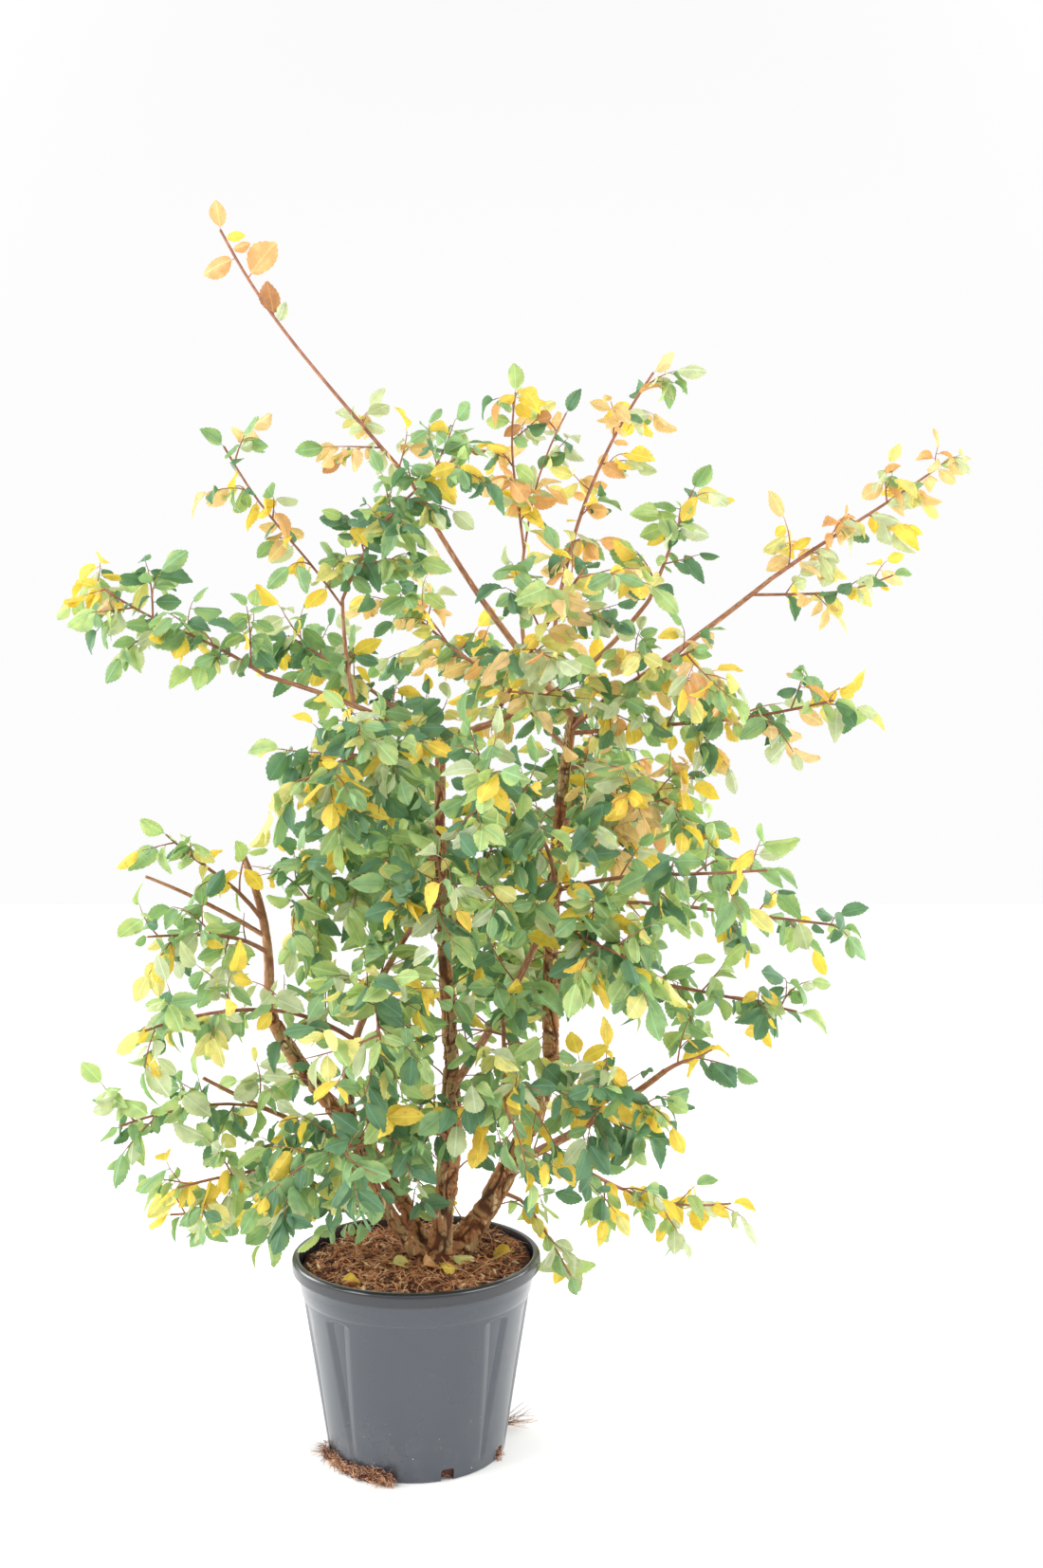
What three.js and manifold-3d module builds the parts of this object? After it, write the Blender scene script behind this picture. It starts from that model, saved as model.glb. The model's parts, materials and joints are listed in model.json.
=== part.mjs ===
// Potted field elm: a young shrub with several corky stems, in a round nursery container.
// Millimetres, +Z up and +X to the right of the front view, which looks along +Y.
// The origin is the centre of the pot's flat underside.
import * as THREE from 'three';
import { mergeVertices } from 'three/addons/utils/BufferGeometryUtils.js';
import Module from 'manifold-3d';

const wasm = await Module();
wasm.setup();
const { Manifold, Mesh } = wasm;

// The container, blow-moulded with a rolled lip, a plain collar and shallow flutes.
const pot = {
  rimRadius: 202.5,
  footRadius: 146,
  height: 322,
  wall: 3.6,
  floor: 5,
  lipHeight: 21,
  lipProud: 6,
  lipRound: 5,
  mouthRound: 2.5,
  collarEnd: 263,
  collarStep: 2,
  collarRise: 3,
  footRound: 6,
  sides: 36,
};
const flutes = {
  angles: [43, 74.3, 105.7, 137],
  turn: 3.9,
  width: 46,
  foot: 14,
  depth: 2.4,
  top: 256,
  bottom: 30,
};
const drains = { count: 8, firstAngle: 22.5, width: 20, height: 20, depth: 26 };

// The growing medium: level round the stems, low against the rim and heaped at one side of it.
const soil = {
  level: 312,
  flatRadius: 100,
  edgeDrop: 14,
  edgeWidth: 22,
  heap: 16,
  heapAngle: 40,
  heapSpread: 55,
  wallRoom: 0.6,
};

// Gap between two pieces that meet, and the room that leaves keep from wood, from other masses
// and from the pot.
const seatGap = 0.3;
const limbRoom = 10;
const massRoom = 3.5;
const potRoom = 6;

// How far up a stem its root flare fades, and the share of its length that a corky swelling takes.
const flareFade = 22;
const corkSpread = 0.09;
const limbStep = 62;

// Stems rise from the soil; every other limb leaves its parent at the share "at" of its length.
// "ends" is the middle of a limb's far end, "bow" moves its middle and "sway" bends it like an S.
const limbs = [
  { name: 'stem_centre', foot: [35, -23], ends: [41, 10, 1164], bow: [14, 5, 0], sway: [10, 0, 0],
    thick: 29, thin: 14, flare: 11, cork: 9, corkAt: 0.23, sides: 10 },
  { name: 'stem_right_foot', foot: [64, 26], ends: [222, 80, 613], bow: [16, 0, 0],
    thick: 35, thin: 27, flare: 12, sides: 10 },
  { name: 'stem_right', from: 'stem_right_foot', at: 1, ends: [257, 100, 1196], bow: [-14, 10, 0],
    thick: 26, thin: 15, sides: 10 },
  { name: 'stem_left_outer', foot: [12, 28], ends: [-244, 20, 716], bow: [0, 34, 0],
    sway: [12, 0, 0], thick: 26, thin: 21, flare: 9, sides: 9 },
  { name: 'stem_left_inner', foot: [15, -17], ends: [-98, -90, 663], bow: [-42, 6, 0],
    thick: 21, thin: 16, flare: 8, sides: 9 },
  { name: 'bough_left_upright', from: 'stem_left_outer', at: 1, ends: [-297, 100, 968],
    bow: [18, 0, 0], thick: 19, thin: 11 },
  { name: 'bough_left_bare', from: 'bough_left_upright', at: 0.46, ends: [-443, 30, 935],
    bow: [0, 0, 6], thick: 9, thin: 5 },
  { name: 'bough_low_left', from: 'stem_left_outer', at: 0.42, ends: [-341, -30, 616],
    bow: [0, 0, -8], thick: 11, thin: 6 },
  { name: 'bough_inner', from: 'stem_left_inner', at: 1, ends: [-7, -140, 860],
    bow: [-8, 0, 0], thick: 13, thin: 9 },
  { name: 'bough_right_low', from: 'stem_right_foot', at: 0.46, ends: [393, -140, 652],
    bow: [6, 0, -6], thick: 17, thin: 9 },
  { name: 'bough_centre_right', from: 'stem_centre', at: 0.33, ends: [230, -140, 934],
    bow: [12, 0, 0], thick: 15, thin: 10 },
  { name: 'bough_top_right', from: 'stem_centre', at: 1, ends: [374, -30, 1382],
    bow: [14, 6, -38], thick: 12, thin: 7 },
  { name: 'bough_top_left', from: 'stem_centre', at: 0.985, ends: [-229, -70, 1262],
    bow: [0, 0, 8], thick: 11, thin: 7 },
  { name: 'bough_left_riser', from: 'bough_top_left', at: 0.5, ends: [-112, -30, 1383],
    bow: [-4, 0, 0], thick: 7.5, thin: 5.5 },
  { name: 'bough_leader', from: 'stem_right', at: 1, ends: [-14, 140, 1590],
    bow: [-18, -6, 0], thick: 13, thin: 7.5 },
  { name: 'bough_far_right', from: 'stem_right', at: 0.975, ends: [594, 160, 1427],
    bow: [0, 0, -6], thick: 13, thin: 8 },
  { name: 'bough_top', from: 'bough_leader', at: 0.24, ends: [176, 135, 1475],
    bow: [-6, 0, 0], thick: 8, thin: 5.5 },
];

// Masses of leaves. "spread" is the reach of their side twigs, "bare" the leafless share at the
// stem's root, and "sparse" widens the distance from one twig or leaf to the next. Past the start
// of "gap" a stem has no side twigs, and between its two shares no leaves.
const masses = [
  { name: 'leaves_leader', from: 'bough_leader', at: 1, ends: [-366, 240, 2068], bow: [-17, 0, -12],
    spread: 90, bare: 0.02, sparse: 1.5, gap: [0.24, 0.66] },
  { name: 'leaves_top_front', from: 'bough_top', at: 1, ends: [162, 55, 1722], bow: [-10, 0, 0],
    spread: 70, bare: 0.1, sparse: 1.5 },
  { name: 'leaves_top_centre', from: 'bough_top', at: 0.8, ends: [248, 205, 1712], bow: [-16, 0, 0],
    spread: 70, bare: 0.25, sparse: 1.7 },
  { name: 'leaves_top_back', from: 'bough_leader', at: 0.12, ends: [405, 315, 1800],
    bow: [-40, 0, 10], spread: 75, bare: 0.3, sparse: 1.6 },
  { name: 'leaves_fork_right', from: 'stem_right', at: 0.96, ends: [430, -180, 1300],
    bow: [0, 0, 14], spread: 100, bare: 0.1 },
  { name: 'leaves_top_right', from: 'bough_top_right', at: 1, ends: [440, -52, 1552], spread: 75 },
  { name: 'leaves_far_right', from: 'bough_far_right', at: 1, ends: [893, 228, 1624], spread: 85,
    sparse: 1.25 },
  { name: 'leaves_mid_right', from: 'bough_centre_right', at: 0.8, ends: [320, -330, 860],
    bow: [0, 0, 10], spread: 125 },
  { name: 'leaves_right_middle', from: 'stem_right', at: 0.95, ends: [650, -130, 1224],
    bow: [0, 0, -8], spread: 85, bare: 0.35, sparse: 1.3 },
  { name: 'leaves_top_left', from: 'bough_top_left', at: 1, ends: [-472, -106, 1395], spread: 105,
    sparse: 1.05 },
  { name: 'leaves_left_riser', from: 'bough_left_riser', at: 1, ends: [71, -141, 1589],
    bow: [-20, 10, 14], spread: 110 },
  { name: 'leaves_upper_left', from: 'bough_left_riser', at: 0.93, ends: [-284, -110, 1612],
    bow: [0, 0, -8], spread: 66, bare: 0.06, sparse: 1.5 },
  { name: 'leaves_fork_front', from: 'bough_top_right', at: 0.22, ends: [265, -190, 1420],
    bow: [0, -20, 10], spread: 130 },
  { name: 'leaves_left_front', from: 'stem_centre', at: 0.93, ends: [-140, -300, 1110],
    bow: [0, 0, 38], spread: 120, bare: 0.08, sparse: 0.9 },
  { name: 'leaves_left_middle', from: 'stem_centre', at: 0.955, ends: [-220, 130, 1330],
    bow: [0, 0, 22], spread: 105, bare: 0.1 },
  { name: 'leaves_centre_left', from: 'stem_centre', at: 0.77, ends: [-185, -130, 905],
    bow: [0, 0, 12], spread: 105, bare: 0.05, sparse: 0.85 },
  { name: 'leaves_left_outer', from: 'bough_left_upright', at: 0.56, ends: [-398, -20, 1008],
    bow: [0, 0, 8], spread: 80, bare: 0.2, sparse: 1.2 },
  { name: 'leaves_left_arm', from: 'bough_left_upright', at: 0.36, ends: [-392, -190, 868],
    bow: [0, 0, 16], spread: 85, bare: 0.15, sparse: 1.25 },
  { name: 'leaves_left_low_front', from: 'bough_inner', at: 0.14, ends: [-364, -345, 756],
    bow: [0, 0, 40], spread: 90, bare: 0.12, sparse: 1.25 },
  { name: 'leaves_inner_left', from: 'bough_inner', at: 0.55, ends: [-30, -330, 740],
    bow: [0, 0, 14], spread: 130 },
  { name: 'leaves_low_left', from: 'bough_low_left', at: 0.5, ends: [-432, -215, 585],
    bow: [0, 0, 26], spread: 85, bare: 0.12, sparse: 1.5 },
  { name: 'leaves_low_front_left', from: 'stem_left_inner', at: 0.42, ends: [-340, -245, 500],
    bow: [0, 0, 22], spread: 85, bare: 0.15, sparse: 1.3 },
  { name: 'leaves_rim_left', from: 'stem_left_outer', at: 0.12, ends: [-424, 105, 350],
    bow: [0, 0, 14], spread: 75, bare: 0.35, sparse: 1.4 },
  { name: 'leaves_right_back', from: 'stem_right', at: 0.85, ends: [490, 268, 1040],
    bow: [0, 0, 22], spread: 90, bare: 0.08, sparse: 1.25 },
  { name: 'leaves_front_right', from: 'bough_centre_right', at: 1, ends: [520, -340, 985],
    bow: [0, 0, 8], spread: 90, bare: 0.25, sparse: 1.25 },
  { name: 'leaves_right_outer', from: 'stem_right', at: 0.46, ends: [700, 40, 852], bow: [0, 0, 12],
    spread: 80, bare: 0.1, sparse: 1.6 },
  { name: 'leaves_right_lower', from: 'stem_right', at: 0.235, ends: [604, -90, 735],
    bow: [0, 0, 18], spread: 85, bare: 0.08, sparse: 1.35 },
  { name: 'leaves_right_low', from: 'bough_right_low', at: 1, ends: [462, -170, 692], spread: 80,
    sparse: 1.25 },
  { name: 'leaves_rim_right', from: 'bough_right_low', at: 0.24, ends: [528, 116, 366],
    bow: [-14, 0, -30], spread: 75, bare: 0.2, sparse: 1.1 },
  { name: 'leaves_rim_front', from: 'stem_right_foot', at: 0.3, ends: [254, 55, 262],
    bow: [0, 0, 40], spread: 60, bare: 0.3 },
  { name: 'leaves_foreground', from: 'bough_centre_right', at: 0.9, ends: [110, -390, 1130],
    bow: [36, 20, 10], spread: 110, bare: 0.1 },
  { name: 'leaves_centre_front', from: 'bough_inner', at: 1, ends: [130, -310, 960],
    bow: [-10, 0, 14], spread: 120, sparse: 0.9 },
  { name: 'leaves_low_centre', from: 'stem_centre', at: 0.24, ends: [-110, -270, 560],
    bow: [0, 0, 12], spread: 130, bare: 0.1, sparse: 0.85 },
  { name: 'leaves_low_right', from: 'bough_centre_right', at: 0.4, ends: [150, -280, 620],
    bow: [0, 0, 10], spread: 130, bare: 0.1, sparse: 0.9 },
  { name: 'leaves_inner_right', from: 'stem_right', at: 0.7, ends: [400, -70, 1070], spread: 120,
    bare: 0.08, sparse: 0.85 },
  { name: 'leaves_far_right_low', from: 'bough_far_right', at: 0.9, ends: [790, 110, 1430],
    bow: [0, 0, -14], spread: 58, bare: 0.15, sparse: 1.4 },
  { name: 'leaves_inner_low', from: 'bough_right_low', at: 0.45, ends: [330, -235, 645],
    bow: [0, 0, 10], spread: 105 },
  { name: 'leaves_back_low', from: 'stem_right', at: 0.08, ends: [110, 350, 770], bow: [0, 0, 20],
    spread: 110, bare: 0.1 },
  { name: 'leaves_back_middle', from: 'stem_centre', at: 0.66, ends: [-70, 360, 1015],
    bow: [0, 0, 24], spread: 125, bare: 0.1 },
  { name: 'leaves_back_high', from: 'stem_right', at: 0.9, ends: [-30, 385, 1380], bow: [0, 20, 10],
    spread: 125, bare: 0.15 },
  { name: 'leaves_back_right', from: 'stem_right', at: 0.6, ends: [325, 425, 1160], bow: [0, 0, 20],
    spread: 110, bare: 0.15 },
];

const twigRule = {
  stepLength: 110,
  rootThick: 9,
  tipThick: 4.4,
  sideThick: 4,
  sideTip: 3.4,
  pace: 138,
  twigLeafPace: 36,
  stemLeafPace: 45,
  leanOut: 0.95,
  lift: 0.1,
};
const leafRule = { length: 104, width: 60, thick: 2.4, sink: 0.8, cup: 6, widestAt: 0.42,
  turn: 3.2 };
// Coordinates closer than this are merged after joining.
const mergeBelow = 0.1;

const bark = new THREE.MeshStandardMaterial({ color: 0x7a5a3c, roughness: 0.92, metalness: 0 });
const youngBark = new THREE.MeshStandardMaterial({ color: 0x8a4f33, roughness: 0.8, metalness: 0 });
const foliage = new THREE.MeshStandardMaterial({ color: 0x5f8f4c, roughness: 0.6, metalness: 0 });
const potPlastic = new THREE.MeshStandardMaterial({ color: 0x62686c, roughness: 0.5, metalness: 0 });
const barkMulch = new THREE.MeshStandardMaterial({ color: 0x5b4330, roughness: 1, metalness: 0 });

const up = new THREE.Vector3(0, 0, 1);
const group = new THREE.Group();
const byName = new Map();

// A repeatable stream of numbers from 0 to 1.
function seededRandom(seed) {
  let state = (seed * 7919 + 12345) % 4294967296;
  return () => {
    state = (state * 1664525 + 1013904223) % 4294967296;
    return state / 4294967296;
  };
}

function vector(triple) {
  return new THREE.Vector3(triple[0], triple[1], triple[2]);
}

// A closed three.js geometry as a solid that can be cut and joined.
function solidOf(geometry) {
  const plain = geometry.clone();
  plain.deleteAttribute('normal');
  plain.deleteAttribute('uv');
  const merged = mergeVertices(plain, 1e-4);
  return new Manifold(new Mesh({
    numProp: 3,
    vertProperties: new Float32Array(merged.attributes.position.array),
    triVerts: new Uint32Array(merged.index.array),
  }));
}

// The largest body of a solid; hollows that joining sealed and loose scraps are left behind.
function mainBody(solid) {
  return solid.decompose().reduce((best, body) => (body.volume() > best.volume() ? body : best));
}

function addPiece(name, solid, material) {
  const data = solid.simplify(mergeBelow).getMesh();
  const geometry = new THREE.BufferGeometry();
  geometry.setAttribute('position', new THREE.BufferAttribute(data.vertProperties, 3));
  geometry.setIndex(new THREE.BufferAttribute(data.triVerts, 1));
  geometry.computeVertexNormals();
  const mesh = new THREE.Mesh(geometry, material);
  mesh.name = name;
  group.add(mesh);
}

// A limb's middle line: straight from start to end, moved by its bow and its sway.
function middleLine(start, end, bow, sway) {
  return (share) => start.clone().lerp(end, share)
    .addScaledVector(bow, 4 * share * (1 - share))
    .addScaledVector(sway, Math.sin(2 * Math.PI * share));
}

function directionAt(line, share) {
  const step = 0.01;
  const before = Math.max(0, share - step);
  const after = Math.min(1, share + step);
  return line(after).sub(line(before)).normalize();
}

// A square pair of directions across a limb, which turn little along it.
function acrossAt(direction, guide) {
  const side = guide.clone().addScaledVector(direction, -guide.dot(direction)).normalize();
  return [side, side.clone().cross(direction)];
}

// A tapering round bar along a middle line, from a cylinder bent to it.
function bentBar(line, radiusAt, sides, steps) {
  const bar = new THREE.CylinderGeometry(1, 1, 1, sides, steps);
  const corners = bar.attributes.position;
  const chord = line(1).sub(line(0)).normalize();
  const guide = Math.abs(chord.z) > 0.7 ? new THREE.Vector3(1, 0, 0) : up;
  for (let index = 0; index < corners.count; index += 1) {
    const share = THREE.MathUtils.clamp(corners.getY(index) + 0.5, 0, 1);
    const [side, other] = acrossAt(directionAt(line, share), guide);
    const radius = radiusAt(share);
    const point = line(share)
      .addScaledVector(side, corners.getX(index) * radius)
      .addScaledVector(other, corners.getZ(index) * radius);
    corners.setXYZ(index, point.x, point.y, point.z);
  }
  return solidOf(bar);
}

// Nearest distance from a point to a limb's surface, measured on its straight steps.
function distanceToLimb(point, limb) {
  let nearest = Infinity;
  const closest = new THREE.Vector3();
  for (const part of limb.parts) {
    part.line.closestPointToPoint(point, true, closest);
    nearest = Math.min(nearest, closest.distanceTo(point) - part.radius);
  }
  return nearest;
}

function straightParts(line, radiusAt, count) {
  const parts = [];
  for (let index = 0; index < count; index += 1) {
    parts.push({
      line: new THREE.Line3(line(index / count), line((index + 1) / count)),
      radius: radiusAt((index + 0.5) / count),
    });
  }
  return parts;
}

function potSolid() {
  const topRadius = pot.rimRadius - pot.lipProud;
  const outerAt = (z) => THREE.MathUtils.lerp(pot.footRadius, topRadius, z / pot.height);
  const innerAt = (z) => outerAt(z) - pot.collarStep - pot.wall;
  const lipUnder = pot.height - pot.lipHeight;
  const outline = [
    [0, 0],
    [pot.footRadius - pot.footRound, 0],
    [outerAt(pot.footRound) - pot.collarStep, pot.footRound],
    [outerAt(pot.collarEnd) - pot.collarStep, pot.collarEnd],
    [outerAt(pot.collarEnd + pot.collarRise), pot.collarEnd + pot.collarRise],
    [outerAt(lipUnder), lipUnder],
    [pot.rimRadius, lipUnder + pot.mouthRound],
    [pot.rimRadius, pot.height - pot.lipRound],
    [pot.rimRadius - pot.lipRound, pot.height],
    [innerAt(pot.height) + pot.mouthRound, pot.height],
    [innerAt(pot.height), pot.height - pot.mouthRound],
    [innerAt(pot.floor), pot.floor],
    [0, pot.floor],
  ];
  const profile = outline.map(([radius, z]) => new THREE.Vector2(radius, z));
  const shell = new THREE.LatheGeometry(profile, pot.sides);
  shell.rotateX(Math.PI / 2);
  return { body: solidOf(shell), outerAt, innerAt };
}

// A tall arch lying in the pot's wall, pushed outwards, for a flute or a drainage notch.
function archCutter(lowWidth, highWidth, bottom, top, radiusInside, leanBack, angle) {
  const arch = new THREE.Shape();
  const throughWall = 40;
  const shoulder = top - bottom - highWidth * 0.22;
  arch.moveTo(-lowWidth / 2, 0);
  arch.lineTo(lowWidth / 2, 0);
  arch.lineTo(highWidth / 2, shoulder);
  arch.lineTo(highWidth * 0.3, top - bottom);
  arch.lineTo(-highWidth * 0.3, top - bottom);
  arch.lineTo(-highWidth / 2, shoulder);
  arch.closePath();
  const block = new THREE.ExtrudeGeometry(arch, { depth: throughWall, bevelEnabled: false });
  block.rotateX(Math.PI / 2 + leanBack);
  block.translate(0, -radiusInside, bottom);
  block.rotateZ(THREE.MathUtils.degToRad(angle));
  return solidOf(block);
}

function addPot() {
  const { body, outerAt, innerAt } = potSolid();
  const lean = Math.atan((pot.rimRadius - pot.lipProud - pot.footRadius) / pot.height);
  const fluteFloor = outerAt(flutes.bottom) - pot.collarStep - flutes.depth;
  const drainStart = pot.footRadius - drains.depth;
  const cutters = [];
  for (const angle of [...flutes.angles, ...flutes.angles.map((value) => -value)]) {
    const { foot, width, bottom, top } = flutes;
    cutters.push(archCutter(foot, width, bottom, top, fluteFloor, lean, angle + flutes.turn));
  }
  for (let index = 0; index < drains.count; index += 1) {
    const angle = drains.firstAngle + index * (360 / drains.count);
    const { width, height } = drains;
    cutters.push(archCutter(width, width, -height, height, drainStart, 0, angle));
  }
  addPiece('pot', mainBody(body.subtract(Manifold.union(cutters))), potPlastic);
  return innerAt;
}

function soilHeight(x, y) {
  const radius = Math.hypot(x, y);
  if (radius <= soil.flatRadius) {
    return soil.level;
  }
  const outwards = (radius - soil.flatRadius) / (pot.rimRadius - soil.flatRadius);
  const offHeap = THREE.MathUtils.radToDeg(Math.atan2(y, x)) - soil.heapAngle;
  const heaped = soil.heap * Math.exp(-((offHeap / soil.heapSpread) ** 2));
  return soil.level + (heaped - soil.edgeDrop) * outwards ** 1.5;
}

function addSoil(innerAt) {
  const bottom = pot.floor + seatGap;
  const lowEdge = soil.level - soil.edgeDrop;
  const edge = innerAt(lowEdge) - soil.wallRoom;
  const profile = [
    new THREE.Vector2(0, bottom),
    new THREE.Vector2(innerAt(bottom) - soil.wallRoom, bottom),
    new THREE.Vector2(edge, lowEdge),
    new THREE.Vector2(edge - soil.edgeWidth, soil.level),
    new THREE.Vector2(edge - 2 * soil.edgeWidth, soil.level),
    new THREE.Vector2(soil.flatRadius, soil.level),
    new THREE.Vector2(0, soil.level),
  ];
  const plug = new THREE.LatheGeometry(profile, pot.sides);
  plug.rotateX(Math.PI / 2);
  const corners = plug.attributes.position;
  for (let index = 0; index < corners.count; index += 1) {
    if (corners.getZ(index) > bottom + 1) {
      corners.setZ(index, soilHeight(corners.getX(index), corners.getY(index)));
    }
  }
  addPiece('soil', solidOf(plug), barkMulch);
}

// Gives a limb its middle line, its radius and its straight steps.
function layOutLimb(limb) {
  const parent = byName.get(limb.from);
  const ground = soil.level + seatGap;
  const start = parent ? parent.line(limb.at) : new THREE.Vector3(limb.foot[0], limb.foot[1], ground);
  const end = vector(limb.ends);
  const length = start.distanceTo(end);
  const flare = limb.flare ?? 0;
  const cork = limb.cork ?? 0;
  const corkAt = limb.corkAt ?? 0;
  limb.line = middleLine(start, end, vector(limb.bow ?? [0, 0, 0]), vector(limb.sway ?? [0, 0, 0]));
  limb.radiusAt = (share) => {
    const taper = THREE.MathUtils.lerp(limb.thick, limb.thin, share) / 2;
    const foot = flare * Math.exp(-(share * length) / flareFade);
    const swelling = (cork / 2) * Math.exp(-(((share - corkAt) / corkSpread) ** 2));
    return taper + foot + swelling;
  };
  limb.steps = Math.max(4, Math.round(length / limbStep));
  limb.parts = straightParts(limb.line, limb.radiusAt, limb.steps * 2);
  byName.set(limb.name, limb);
}

// The solid that a child limb is cut by, so that it starts just clear of its parent.
function widened(limb) {
  const radiusAt = (share) => limb.radiusAt(share) + seatGap + mergeBelow;
  return bentBar(limb.line, radiusAt, limb.sides ?? 7, limb.steps);
}

// A child at its parent's tip starts a gap beyond it; one on its side is cut clear of it.
function lineFromParent(child, parent) {
  if (child.at < 1) {
    return child.line;
  }
  const length = child.line(0).distanceTo(child.line(1));
  const skip = (seatGap + mergeBelow) / length;
  return (share) => child.line(skip + share * (1 - skip));
}

function cutClear(solid, parent) {
  return mainBody(solid.subtract(widened(parent)));
}

function addLimbs() {
  const feet = [];
  for (const limb of limbs) {
    const parent = byName.get(limb.from);
    const line = parent ? lineFromParent(limb, parent) : limb.line;
    let solid = bentBar(line, limb.radiusAt, limb.sides ?? 7, limb.steps);
    if (parent) {
      solid = cutClear(solid, parent);
    } else {
      const below = new THREE.BoxGeometry(2 * pot.rimRadius, 2 * pot.rimRadius, soil.level);
      below.translate(0, 0, soil.level / 2 + seatGap);
      solid = solid.subtract(solidOf(below));
      solid = feet.reduce((rest, other) => rest.subtract(widened(other)), solid);
      solid = mainBody(solid);
      feet.push(limb);
    }
    addPiece(limb.name, solid, limb.name.startsWith('stem') ? bark : youngBark);
  }
}

function layOutMass(mass, index) {
  const parent = byName.get(mass.from);
  const start = parent.line(mass.at);
  const end = vector(mass.ends);
  mass.line = middleLine(start, end, vector(mass.bow ?? [0, 0, 0]), new THREE.Vector3());
  mass.length = start.distanceTo(end);
  const rootThick = Math.min(twigRule.rootThick, 2 * parent.radiusAt(mass.at) - 0.6);
  mass.radiusAt = (share) => THREE.MathUtils.lerp(rootThick, twigRule.tipThick, share) / 2;
  mass.steps = Math.max(2, Math.round(mass.length / twigRule.stepLength));
  mass.parts = straightParts(mass.line, mass.radiusAt, mass.steps * 2);
  mass.seed = index + 1;
}

// A point belongs to the mass whose stem is nearest, with room left to the next one.
function inOwnSpace(point, mass) {
  const own = distanceToLimb(point, mass);
  return masses.every((other) => other === mass || distanceToLimb(point, other) > own + 2 * massRoom);
}

function clearOfWood(point) {
  return limbs.every((limb) => distanceToLimb(point, limb) > limbRoom);
}

function clearOfPot(point) {
  const radius = Math.hypot(point.x, point.y);
  return radius > pot.rimRadius + potRoom || point.z > pot.height + potRoom;
}

function allowed(points, mass) {
  const good = (point) => inOwnSpace(point, mass) && clearOfWood(point) && clearOfPot(point);
  return points.every(good);
}

// One leaf: a diamond of eight faces, a little cupped, its base sunk past the twig's middle.
function leafPoints(base, along, across, face, size) {
  const length = leafRule.length * size;
  const half = (leafRule.width * size) / 2;
  const middle = base.clone().addScaledVector(along, length * leafRule.widestAt);
  return {
    base: base.clone().addScaledVector(along, -leafRule.sink),
    tip: base.clone().addScaledVector(along, length).addScaledVector(face, -leafRule.cup),
    left: middle.clone().addScaledVector(across, half).addScaledVector(face, -leafRule.cup),
    right: middle.clone().addScaledVector(across, -half).addScaledVector(face, -leafRule.cup),
    top: middle.clone().addScaledVector(face, leafRule.thick / 2),
    under: middle.clone().addScaledVector(face, -leafRule.thick / 2),
  };
}

function leafSolid(corners) {
  const blade = new THREE.OctahedronGeometry(1);
  const places = blade.attributes.position;
  for (let index = 0; index < places.count; index += 1) {
    const [x, y, z] = [places.getX(index), places.getY(index), places.getZ(index)];
    const ends = x > 0.5 ? corners.tip : corners.base;
    const sides = y > 0.5 ? corners.left : corners.right;
    const faces = z > 0.5 ? corners.top : corners.under;
    const point = Math.abs(x) > 0.5 ? ends : Math.abs(y) > 0.5 ? sides : faces;
    places.setXYZ(index, point.x, point.y, point.z);
  }
  return solidOf(blade);
}

function leafProbes(corners) {
  const { tip, left, right, top } = corners;
  const between = (a, b, share) => a.clone().lerp(b, share);
  return [tip, left, right, top, between(top, tip, 0.5), between(top, left, 0.5),
    between(top, right, 0.5), between(left, tip, 0.5), between(right, tip, 0.5)];
}

// A leaf leaves its twig to one side and hangs, with its face turned up and away from the shrub.
// Where there is no room for it, it is tried hanging lower, and then it is skipped.
function growLeaf(mass, base, forward, sideways, random) {
  const away = new THREE.Vector3(base.x, base.y, 0).normalize()
    .applyAxisAngle(up, leafRule.turn * (random() - 0.5));
  const facing = up.clone().multiplyScalar(0.2 + 0.8 * random())
    .add(away)
    .addScaledVector(sideways, 1.2 * (random() - 0.5));
  const size = 0.82 + 0.36 * random();
  const droop = 0.35 + 0.8 * random();
  for (const hang of [droop, droop + 1, droop - 1]) {
    const along = forward.clone().multiplyScalar(0.5)
      .addScaledVector(sideways, 0.8)
      .addScaledVector(up, -hang)
      .normalize();
    const across = facing.clone().cross(along).normalize();
    const face = along.clone().cross(across);
    const corners = leafPoints(base, along, across, face, size);
    if (allowed(leafProbes(corners), mass)) {
      return [leafSolid(corners)];
    }
  }
  return [];
}

// Leaves in two ranks along a twig, from its tip back to the share that is bare.
function growLeaves(mass, line, length, bare, pace, random, gap = [1, 1]) {
  const pieces = [];
  const count = Math.max(1, Math.round((length * (1 - bare)) / pace));
  for (let index = 0; index < count; index += 1) {
    const share = 1 - ((1 - bare) * index) / count;
    if (share > gap[0] && share < gap[1]) {
      continue;
    }
    const forward = directionAt(line, share);
    const turn = index % 2 === 0 ? 1 : -1;
    const reach = index === 0 ? 0.3 * turn : turn;
    const sideways = forward.clone().cross(up).normalize().multiplyScalar(reach);
    pieces.push(...growLeaf(mass, line(share), forward, sideways, random));
  }
  return pieces;
}

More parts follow.
